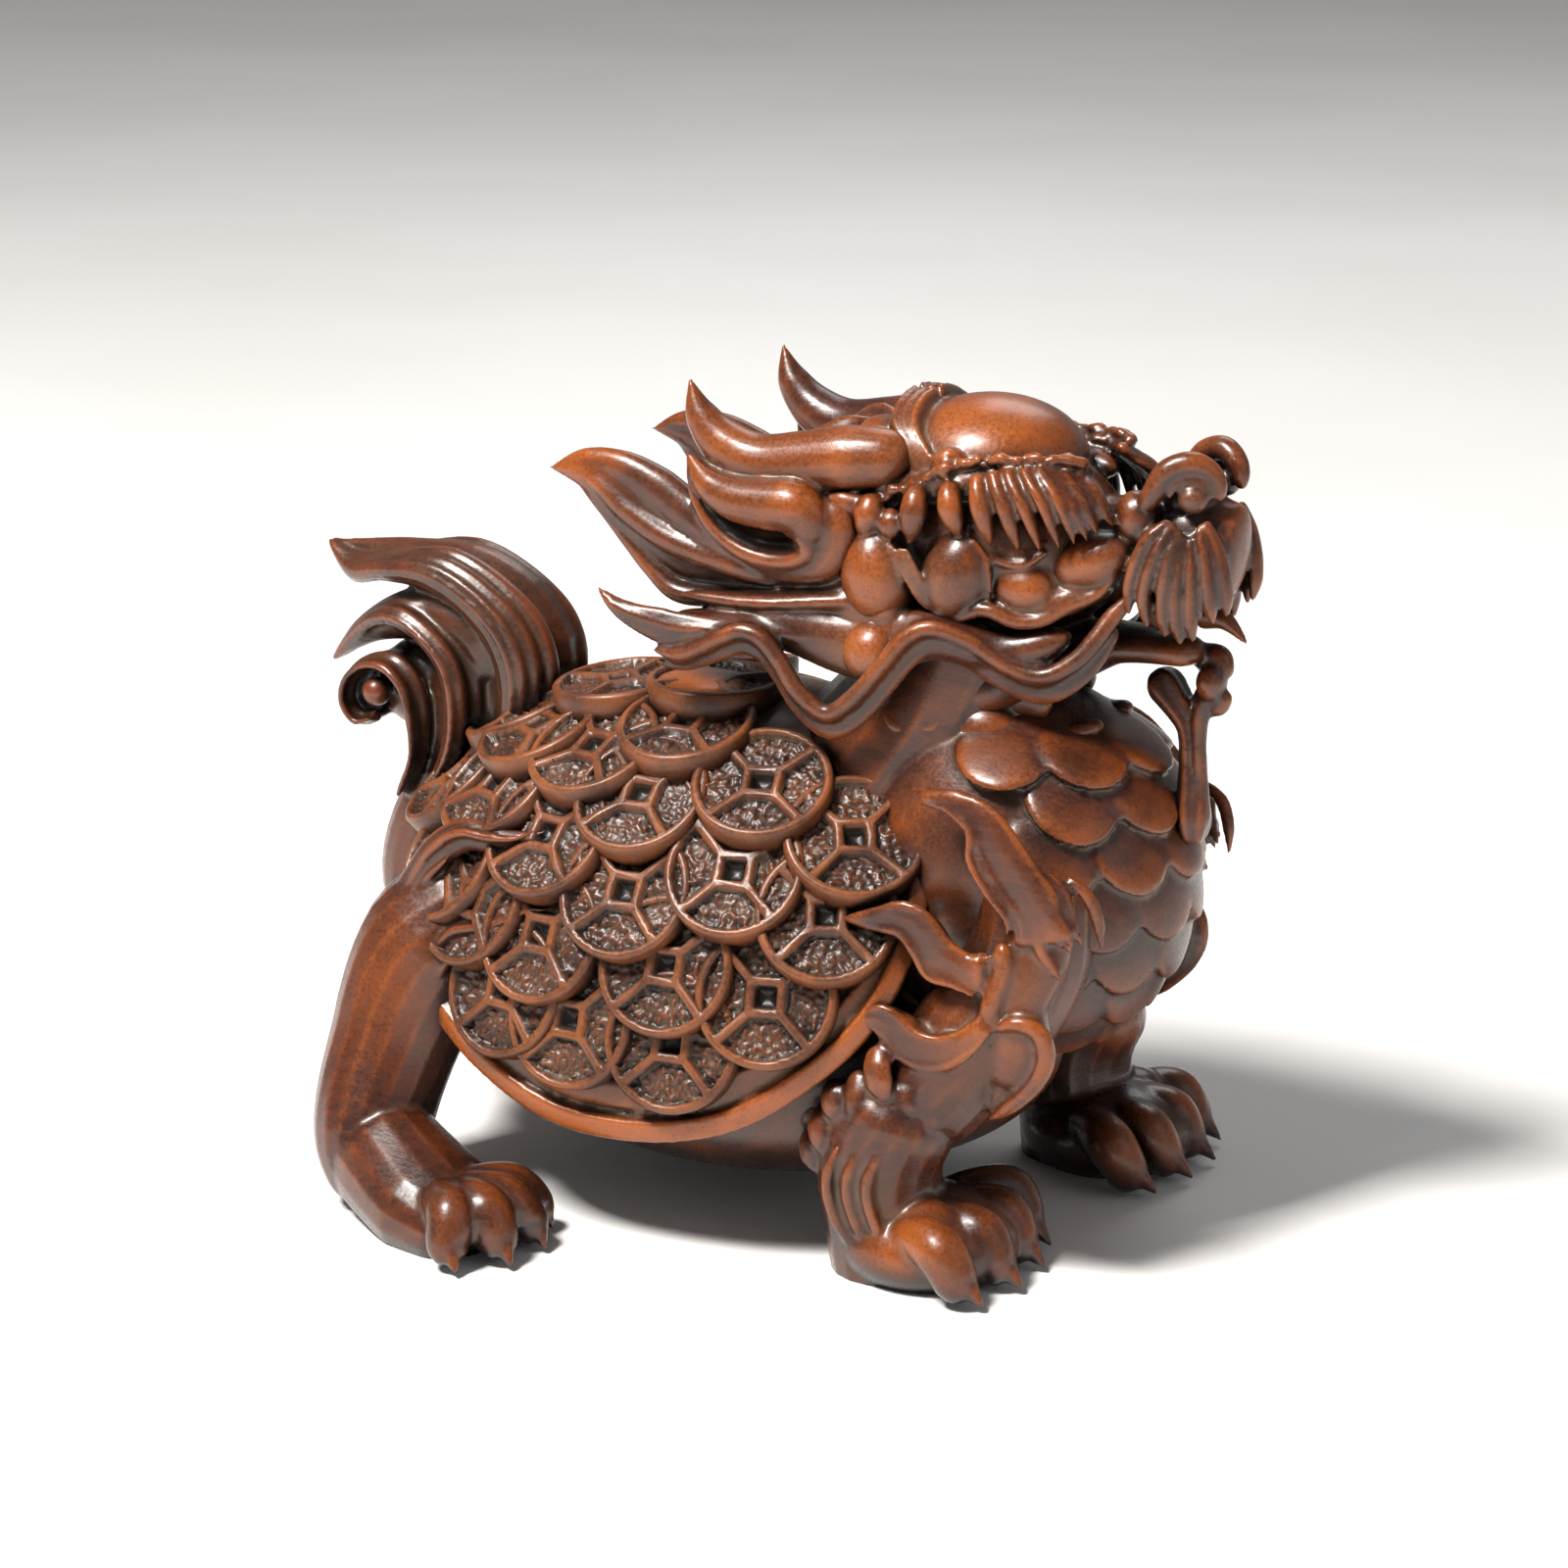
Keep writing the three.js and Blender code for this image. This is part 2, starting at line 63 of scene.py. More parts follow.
class Side(Enum):
    """Which flank of the animal: the one turned to the camera, or the one turned away."""

    NEAR = -1
    FAR = 1

    def of(self, path: Path) -> list[list[float]]:
        """Puts points given by their distance out from the ridge on this flank."""
        return [[x, self.value * out, z] for x, out, z in path]

    def at(self, point: Point) -> list[float]:
        """Puts one point on this flank."""
        return [point[0], self.value * point[1], point[2]]


def spline(points: Path, shares: np.ndarray) -> np.ndarray:
    """Reads a smooth curve that runs through points.

    Args:
        points: the points that it passes through, in order.
        shares: how far along each reading is, from 0 to 1.

    Returns:
        One row per share.
    """
    p = np.asarray(points, float)
    p = np.vstack([2 * p[0] - p[1], p, 2 * p[-1] - p[-2]])
    spot = np.clip(shares, 0, 1) * (len(points) - 1)
    low = np.minimum(spot.astype(int), len(points) - 2)
    t = (spot - low)[:, None]
    gaps = np.maximum(np.linalg.norm(np.diff(p, axis=0), axis=1) ** 0.5, 1e-4)
    a, b, c = (gaps[low + k][:, None] for k in range(3))
    p0, p1, p2, p3 = (p[low + k] for k in range(4))
    leave = ((p1 - p0) / a - (p2 - p0) / (a + b) + (p2 - p1) / b) * b
    arrive = ((p2 - p1) / b - (p3 - p1) / (b + c) + (p3 - p2) / c) * b
    t2, t3 = t * t, t * t * t
    return (2 * t3 - 3 * t2 + 1) * p1 + (t3 - 2 * t2 + t) * leave + (3 * t2 - 2 * t3) * p2 + (t3 - t2) * arrive


def between(one: Path, other: Path, share: float, shift: Point = (0, 0, 0)) -> list[list[float]]:
    """Blends two paths with equally many points, and moves the result."""
    mixed = (1 - share) * np.asarray(one, float) + share * np.asarray(other, float)
    return (mixed + np.asarray(shift, float)).tolist()


def read(values: Sequence[float], shares: np.ndarray) -> np.ndarray:
    """Reads evenly spaced values at each share of their length."""
    return np.interp(shares, np.linspace(0, 1, len(values)), values)


def blur(values: np.ndarray, edges: np.ndarray, rounds: int) -> np.ndarray:
    """Averages values over neighbouring vertices.

    Args:
        values: one row per vertex.
        edges: one pair of vertex numbers per edge.
        rounds: how often each vertex moves half way to its neighbours' mean.

    Returns:
        The averaged rows.
    """
    a, b = edges[:, 0], edges[:, 1]
    n = len(values)
    count = np.maximum(np.bincount(a, minlength=n) + np.bincount(b, minlength=n), 1)
    for _ in range(rounds):
        columns = [np.bincount(a, col[b], n) + np.bincount(b, col[a], n) for col in values.T]
        values = 0.5 * values + 0.5 * np.stack(columns, 1) / count[:, None]
    return values


@dataclass(frozen=True)
class Spot:
    """A place that hands have rubbed bright, or where dust lies, fading out over its reach."""

    middle: Point
    reach: float
    strength: float = 1.0


@dataclass
class Relief:
    """Forms gathered for one piece, joined as one skin and polished, in millimetres."""

    name: str
    voxel: float
    most: int
    polish: int = 2
    sides: int = 18
    forms: bmesh.types.BMesh = field(default_factory=bmesh.new)

    def take(self, form: bmesh.types.BMesh) -> None:
        """Adds a closed form and frees it."""
        bmesh.ops.recalc_face_normals(form, faces=form.faces)
        holder = bpy.data.meshes.new("form")
        form.to_mesh(holder)
        form.free()
        self.forms.from_mesh(holder)
        bpy.data.meshes.remove(holder)

    def ball(self, middle: Point, radii: Point, lean: float = 0, turn: float = 0) -> None:
        """Adds a stretched ball, leaned about Y and turned about Z in degrees."""
        place = Matrix.Translation(Vector(middle)) @ Matrix.Rotation(math.radians(turn), 4, "Z")
        place = place @ Matrix.Rotation(math.radians(lean), 4, "Y") @ Matrix.Diagonal((*radii, 1))
        form = bmesh.new()
        fine = max(10, int(1.6 * self.sides * max(radii) ** 0.3))
        bmesh.ops.create_uvsphere(form, u_segments=fine, v_segments=fine * 2 // 3, radius=1, matrix=place)
        self.take(form)

    def drawn(
        self,
        path: Path,
        widths: Sequence[float],
        depths: Sequence[float] | None = None,
        *,
        thin: Point = (0, 1, 0),
        heart: Point | None = None,
        ridges: int = 0,
        ridge: float = 0.0,
        ends: float = 0.14,
        square: float = 1.0,
    ) -> None:
        """Adds a form drawn out along a curve.

        Args:
            path: the points that its middle runs through.
            widths: its half-width, evenly along it.
            depths: its half-depth, the same as widths unless given.
            thin: the direction of its depth.
            heart: a point that its depth points away from, instead of thin.
            ridges: how many ridges run along it, round its section.
            ridge: their height as a share of its size.
            ends: the share of its length over which each end rounds off.
            square: 1 for a round section, less for a squarer one.
        """
        form = bmesh.new()
        rings = 10 + 5 * len(path)
        sides = max(self.sides, 5 * ridges)
        bmesh.ops.create_uvsphere(form, u_segments=sides, v_segments=rings, radius=1)
        unit = np.array([v.co for v in form.verts])
        share = np.arccos(np.clip(unit[:, 2], -1, 1)) / math.pi
        along = 0.45 * share + 0.55 * (0.5 - 0.5 * np.cos(math.pi * share))
        around = np.arctan2(unit[:, 1], unit[:, 0])
        at = spline(path, along)
        step = 1e-3
        ahead = spline(path, np.minimum(along + step, 1)) - spline(path, np.maximum(along - step, 0))
        ahead /= np.linalg.norm(ahead, axis=1)[:, None]
        deep = at - np.asarray(heart, float) if heart is not None else np.tile(np.asarray(thin, float), (len(at), 1))
        deep = deep - (deep * ahead).sum(1)[:, None] * ahead
        deep /= np.maximum(np.linalg.norm(deep, axis=1), 1e-6)[:, None]
        wide = np.cross(deep, ahead)
        near_end = np.clip(np.minimum(along, 1 - along) / ends, 0, 1)
        close = np.sqrt(np.maximum(1 - (1 - near_end) ** 2, 0))
        swell = close * (1 + ridge * np.cos(ridges * around))
        c, s = np.cos(around), np.sin(around)
        c, s = np.sign(c) * np.abs(c) ** square, np.sign(s) * np.abs(s) ** square
        w, d = read(widths, along), read(widths if depths is None else depths, along)
        at = at + (w * swell * c)[:, None] * wide + (d * swell * s)[:, None] * deep
        for vert, co in zip(form.verts, at):
            vert.co = co
        self.take(form)

    def leaf(self, one: Path, other: Path, depth: float, line: float = 0.0, lift: float = 0.0, thin: Point = (0, 1, 0)) -> None:
        """Adds a flat form between two edges with equally many points, lined along both.

        Args:
            one: its first edge.
            other: its second edge.
            depth: its half-depth.
            line: the size of the rounded line on each edge, or 0.
            lift: how far the lines stand out along thin.
            thin: the direction of its depth.
        """
        a, b = np.asarray(one, float), np.asarray(other, float)
        half = np.maximum(0.5 * np.linalg.norm(a - b, axis=1), 0.3)
        self.drawn((0.5 * (a + b)).tolist(), half.tolist(), [depth] * len(half), thin=thin, ends=0.05, square=0.7)
        if line:
            raised = lift * np.asarray(thin, float)
            for share, size in ((0.0, line), (0.24, 0.75 * line), (0.76, 0.75 * line), (1.0, line)):
                self.bead(between(a, b, share, raised), size, 0.3)

    def bead(self, path: Path, size: float, tips: float = 0.4) -> None:
        """Adds a thin rounded line that narrows towards both ends."""
        self.drawn(path, [tips * size, size, size, size, tips * size], ends=0.06)

    def skin(self) -> bpy.types.Mesh:
        """Joins the forms as one skin without inner walls, and returns its mesh."""
        raw = bpy.data.meshes.new(self.name + "_forms")
        self.forms.to_mesh(raw)
        self.forms.free()
        holder = bpy.data.objects.new(self.name + "_forms", raw)
        bpy.context.scene.collection.objects.link(holder)
        remesh = holder.modifiers.new("skin", "REMESH")
        remesh.mode = "VOXEL"
        remesh.voxel_size = self.voxel * 1.0
        skin = bpy.data.meshes.new_from_object(holder.evaluated_get(bpy.context.evaluated_depsgraph_get()))
        bpy.data.objects.remove(holder)
        bpy.data.meshes.remove(raw)
        return skin

    def carve(self) -> bpy.types.Object:
        """Joins, polishes and thins out the forms and returns the finished piece, without its looks."""
        mesh = self.skin()
        drop_crumbs(mesh, CRUMB)
        edges = edges_of(mesh)
        polished = blur(coords_of(mesh), edges, self.polish)
        polished[:, 2] = np.maximum(polished[:, 2], 0)
        set_coords(mesh, polished)
        mesh = thinned(mesh, self.most)
        mesh.name = self.name
        piece = bpy.data.objects.new(self.name, mesh)
        bpy.context.scene.collection.objects.link(piece)
        return piece


def coords_of(mesh: bpy.types.Mesh) -> np.ndarray:
    """Returns the vertices of a mesh, one row each."""
    flat = np.empty(3 * len(mesh.vertices))
    mesh.vertices.foreach_get("co", flat)
    return flat.reshape(-1, 3)


def edges_of(mesh: bpy.types.Mesh) -> np.ndarray:
    """Returns the edges of a mesh as pairs of vertex numbers."""
    flat = np.empty(2 * len(mesh.edges), np.int64)
    mesh.edges.foreach_get("vertices", flat)
    return flat.reshape(-1, 2)


def set_coords(mesh: bpy.types.Mesh, rows: np.ndarray) -> None:
    """Moves the vertices of a mesh."""
    mesh.vertices.foreach_set("co", rows.ravel())
    mesh.update()


def drop_crumbs(mesh: bpy.types.Mesh, least: int) -> None:
    """Removes the specks that the skin leaves in the narrowest cuts.

    Args:
        mesh: the mesh, changed in place.
        least: the fewest vertices that a part of it has when it isn't a speck.
    """
    edges = edges_of(mesh)
    part = np.arange(len(mesh.vertices))
    while (part[edges[:, 0]] != part[edges[:, 1]]).any():
        ends = part[edges]
        np.minimum.at(part, ends.max(1), ends.min(1))
        while (part != part[part]).any():
            part = part[part]
    specks = np.flatnonzero(np.bincount(part, minlength=len(part))[part] < least)
    if not len(specks):
        return
    form = bmesh.new()
    form.from_mesh(mesh)
    form.verts.ensure_lookup_table()
    bmesh.ops.delete(form, geom=[form.verts[number] for number in specks], context="VERTS")
    form.to_mesh(mesh)
    form.free()


def thinned(mesh: bpy.types.Mesh, most: int) -> bpy.types.Mesh:
    """Thins out a mesh where it is flattest, and frees the one it replaces.

    Args:
        mesh: the closed mesh.
        most: the most triangles that it may keep.

    Returns:
        The thinned mesh, or the mesh itself where it has no more than that.
    """
    count = sum(len(face.vertices) - 2 for face in mesh.polygons)
    if count <= most:
        return mesh
    holder = bpy.data.objects.new(mesh.name, mesh)
    bpy.context.scene.collection.objects.link(holder)
    holder.modifiers.new("thin", "DECIMATE").ratio = most / count
    thin = bpy.data.meshes.new_from_object(holder.evaluated_get(bpy.context.evaluated_depsgraph_get()))
    bpy.data.objects.remove(holder)
    bpy.data.meshes.remove(mesh)
    return thin


def attribute(mesh: bpy.types.Mesh, name: str, values: np.ndarray) -> None:
    """Stores one number per vertex under a name that materials read."""
    layer = mesh.attributes.get(name) or mesh.attributes.new(name, "FLOAT", "POINT")
    layer.data.foreach_set("value", np.asarray(values, np.float32))


@dataclass
class Head:
    """The skull with its forehead, snout, jaw and beard, and the face on both sides."""

    skull: Point = (14.5, 10.4, 10.6)
    forehead: Point = (9.8, 8.8, 6.3)
    strand_sizes: Sequence[float] = (1.35, 1.3, 1.0, 0.72, 0.66, 0.62, 0.62)
    curl: float = 0.6
    curls: int = 30

    BROW_STRANDS = (
        ((11.4, 10.2, 76.5), (11.3, 11.8, 75.0), (10.6, 11.2, 72.2)),
        ((16.1, 10.2, 77.9), (16.2, 11.8, 75.7), (15.7, 11.2, 72.2)),
        ((19.4, 10.0, 78.5), (20.1, 11.6, 76.4), (20.9, 11.0, 73.4)),
        ((22.3, 9.8, 79.7), (23.3, 11.4, 76.7), (24.1, 10.8, 73.0)),
        ((23.8, 9.5, 80.2), (25.8, 11.1, 76.8), (26.9, 10.5, 72.6)),
        ((25.2, 9.1, 80.4), (27.6, 10.7, 77.2), (29.1, 10.1, 72.6)),
        ((26.7, 8.7, 80.6), (29.4, 10.3, 77.6), (30.9, 9.7, 73.0)),
        ((28.1, 8.2, 80.7), (31.0, 9.8, 77.7), (32.3, 9.2, 73.4)),
        ((29.2, 7.6, 80.3), (32.0, 9.2, 77.5), (33.3, 8.6, 73.8)),
        ((30.3, 7.0, 80.2), (32.9, 8.6, 77.7), (34.2, 8.0, 74.3)),
        ((31.3, 5.6, 80.0), (33.8, 7.4, 78.0), (35.2, 6.6, 75.0)),
    )
    BROW_LEAVES = (
        ((12.0, 10.2, 75.6), (9.0, 11.4, 75.8), (6.6, 11.6, 76.5)),
        ((13.4, 9.2, 76.8), (12.0, 10.0, 78.5), (10.8, 9.9, 80.3)),
        ((17.6, 8.6, 79.4), (18.6, 9.2, 80.6), (20.2, 8.8, 81.0)),
        ((13.6, 10.6, 75.6), (13.6, 11.8, 74.2), (13.0, 11.2, 72.8)),
    )
    BROW_ROW = (
        (12.4, 10.2, 76.3), (16.5, 10.2, 78.6), (19.5, 9.6, 80.0), (23.3, 9.0, 80.9), (27.0, 8.2, 81.2),
        (30.2, 7.0, 81.2), (32.1, 5.6, 80.7),
    )
    FAN = (
        ((40.7, 6.0, 76.3), (38.7, 6.6, 74.1), (37.2, 6.8, 70.0), (36.8, 6.4, 66.4)),
        ((41.3, 6.0, 76.1), (39.8, 6.8, 73.0), (38.7, 7.0, 68.6), (38.9, 6.6, 65.3)),
        ((41.9, 5.9, 75.5), (41.0, 6.7, 72.2), (40.6, 6.8, 67.2), (40.8, 6.4, 64.6)),
        ((42.2, 5.8, 74.8), (41.8, 6.5, 70.4), (41.8, 6.5, 66.6), (42.2, 6.0, 63.9)),
        ((42.8, 5.6, 74.9), (43.2, 6.0, 70.4), (43.1, 6.0, 66.7), (43.3, 5.6, 64.2)),
        ((43.4, 5.2, 76.0), (44.4, 5.4, 72.3), (44.8, 5.4, 68.6), (45.0, 4.8, 66.0)),
        ((43.9, 4.9, 76.4), (45.3, 4.6, 72.9), (46.0, 4.2, 69.2), (45.9, 3.6, 66.6)),
    )
    GUM = (
        (20.0, 11.0, 65.0), (23.4, 10.6, 66.5), (26.5, 10.0, 65.5), (28.8, 9.2, 65.7), (31.0, 8.2, 67.0),
        (33.9, 7.2, 68.5), (35.9, 6.4, 71.2),
    )
    BEARD = ((36.5, 1.8, 59.0), (38.9, 1.2, 56.6), (40.8, 0.8, 53.9), (41.3, 0.4, 50.3), (41.5, 0.2, 46.8), (41.6, 0, 42))

    def core(self, work: Relief) -> None:
        """Adds the forms on the middle line."""
        work.ball((19.5, 0, 71.4), self.skull)
        work.ball((19.6, 0, 79.5), self.forehead)
        snout = [(22, 0, 71), (33, 0, 71.5), (42, 0, 72.4), (46.4, 0, 72)]
        work.drawn(snout, [8.2, 6.2, 4.6, 3.4], [6.6, 5.2, 5.6, 4.6], thin=(0, 0, 1), ends=0.1)
        work.ball((40.6, 0, 77), (3.4, 3.6, 4))
        jaw = [(13, 0, 59.4), (24, 0, 59.4), (34, 0, 62), (42.6, 0, 61.8)]
        work.drawn(jaw, [8.0, 7.8, 4.6, 2.4], [5.4, 4.4, 1.9, 1.5], thin=(0, 0, 1), ends=0.1)
        work.drawn([(41.4, 1.4, 65.4), (44.2, 0.6, 65.2), (46.9, 0, 63.2)], [1.6, 1.0, 0.2], ends=0.1)
        for curl in ([(41, 2, 60.8), (43.8, 0.8, 61.2), (44.8, 0.4, 59.4)], [(41.4, 2, 57.6), (43.6, 0.8, 56.6), (44.9, 0.2, 58)]):
            work.drawn(curl, [1.5, 1.3, 0.7])
        work.ball((43.2, 0.2, 59), (1.5, 2.2, 1.9))
        work.drawn(self.BEARD, [2.2, 1.7, 1.3, 1.3, 1.6, 2.2], ridges=5, ridge=0.14)
        second = [(43.3, 0.6, 58.4), (42.2, 0.2, 55.5), (42.1, 0, 52.6), (42.3, 0, 48.5), (42.9, 0, 43.6)]
        work.drawn(second, [1.0, 0.9, 0.8, 0.9, 0.9])

    def side(self, work: Relief, side: Side, seed: np.random.Generator) -> None:
        """Adds one side of the face."""
        brow = [(8.1, 8.0, 76.4), (14.1, 8.7, 77.6), (23.3, 8.0, 78.6), (31, 4.9, 78.2)]
        work.drawn(side.of(brow), [1.3, 1.6, 1.7, 1.4])
        for number, strand in enumerate(self.BROW_STRANDS):
            size = float(read(self.strand_sizes, np.array([number / (len(self.BROW_STRANDS) - 1)]))[0])
            work.drawn(side.of(strand), [0.75 * size, size, 1.1 * size, 0.8 * size, 0.1], [1.1, 1.4, 1.2, 0.9, 0.2], ends=0.07)
        for leaf in self.BROW_LEAVES:
            work.drawn(side.of(leaf), [0.8, 1.3, 1.2, 0.3], [0.8, 1.0, 0.8, 0.3])
        for row in range(2):
            for share in np.linspace(0.02, 0.98, self.curls):
                x, out, z = spline(self.BROW_ROW, np.array([share]))[0] + seed.normal(0, 0.22, 3)
                size = self.curl * seed.uniform(0.7, 1.25)
                work.ball(side.at((x, out - 0.9 * row + 0.3, z + 0.2 - 1.1 * row)), (size * 1.2, size, size * 0.9), seed.uniform(-60, 60))
        for lift in (-0.9, 0.1, 1.1):
            strap = [(12.6 + lift, 0, 84.9), (12.6 + lift, 4, 84.2), (13.2 + lift, 6.8, 82.6), (15.2 + lift, 8.6, 80.4), (17.4 + 0.7 * lift, 9.3, 78.6)]
            work.drawn(side.of(strap), [0.5, 0.55, 0.55, 0.5, 0.4], [1.5, 1.4, 1.3, 1.1, 0.7], thin=(-0.3, 0, 1), ends=0.05)
        work.ball(side.at((10.2, 4.6, 82)), (3.0, 2.8, 1.7))
        work.ball(side.at((26.0, 7.0, 73.0)), (2.8, 1.9, 2.1))
        work.bead(side.of([(21.0, 10.2, 74.6), (23.0, 10.0, 72.2), (26.4, 9.4, 71.0), (29.4, 8.4, 72.6)]), 0.5)
        work.bead(side.of([(21.8, 9.6, 75), (23.8, 9.5, 73), (26.4, 9.0, 72), (28.8, 8.2, 73.2)]), 0.36)
        work.ball(side.at((11.8, 9.6, 68.8)), (4.0, 4.3, 5.2), -6)
        work.ball(side.at((20.0, 8.9, 69.4)), (3.8, 4.0, 5.1), 20)
        for shift in (-0.75, 0, 0.75):
            work.bead(side.of([(14.6 + shift, 12.0, 72.6), (16.2 + shift, 12.2, 69.7), (18.2 + shift, 11.6, 66.0)]), 0.34)
        for shift in (0, 0.7):
            work.bead(side.of([(21.4 + shift, 10.9, 73.7), (22.9 + shift, 10.7, 71.3), (23.2 + shift, 10.3, 67.2)]), 0.3)
        work.ball(side.at((26.4, 7.9, 68.4)), (3.4, 2.5, 2.7), 4)
        work.ball(side.at((32.4, 5.7, 71.2)), (4.6, 2.9, 2.8), -24)
        work.ball(side.at((12.0, 11.2, 61.2)), (3.4, 3.4, 3.4))
        work.drawn(side.of(self.GUM), [0.5, 0.8, 0.75, 0.75, 0.6, 0.4], ends=0.08)
        work.drawn(side.of([(23, 8.6, 67), (29, 7.8, 67), (35, 5.4, 69.4)]), [1.4, 1.6, 1.2])
        arch = [(37.8, 5.6, 76.6), (38.7, 5.4, 78.6), (40.0, 5.0, 80.7), (42.3, 4.2, 81.5), (44.0, 3.4, 80.4), (44.8, 3.0, 77.8)]
        work.drawn(side.of(arch), [0.9, 1.15, 1.3, 1.3, 1.15, 0.9])
        work.ball(side.at((42.5, 4.5, 78.2)), (1.5, 1.6, 1.5))
        work.bead(side.of([(40.2, 5.5, 77.6), (41.2, 5.4, 79.7), (43.4, 4.6, 79.9), (44.4, 4.0, 78.2)]), 0.34)
        work.ball(side.at((36.8, 4.4, 75.8)), (2.3, 2.4, 2.7), -12)
        bulge = [(41.1, 3.4, 76.7), (41.2, 4.6, 72), (40.8, 5.0, 68), (41.4, 4.4, 65)]
        work.drawn(side.of(bulge), [1.8, 3.8, 3.9, 2.2], [1.0, 0.9, 0.9, 0.7])
        for strand in self.FAN:
            work.drawn(side.of(strand), [0.35, 0.7, 0.78, 0.7, 0.25], [0.7, 1.2, 1.25, 1.0, 0.3], ends=0.08)
        work.drawn(side.of([(28.6, 5.4, 55.8), (25.6, 6.4, 56.7), (22.7, 6.8, 56.6)]), [1.4, 1.8, 0.4], [1, 1.2, 0.4])
        work.drawn(side.of([(20, 8.0, 57), (17.6, 9.2, 53.9), (14, 9.8, 53.4), (12.2, 9.8, 55.6)]), [1.6, 1.5, 1.3, 0.6])
        work.ball(side.at((21.8, 6.6, 53.4)), (4.4, 3.4, 3.2))
        for drop in (0, 1.6):
            throat = [(33.4, 3.4, 54.4 - drop), (29.1, 5.6, 53 - drop), (25.4, 6.4, 52 - drop)]
            work.drawn(side.of(throat), [0.8, 1.2, 0.3], [1.2, 1.6, 0.4])

    def build(self) -> bpy.types.Object:
        """Builds the head and returns its piece."""
        work = Relief("head", voxel=0.27, most=155_000)
        self.core(work)
        for side in Side:
            self.side(work, side, np.random.default_rng(SEED))
        return work.carve()


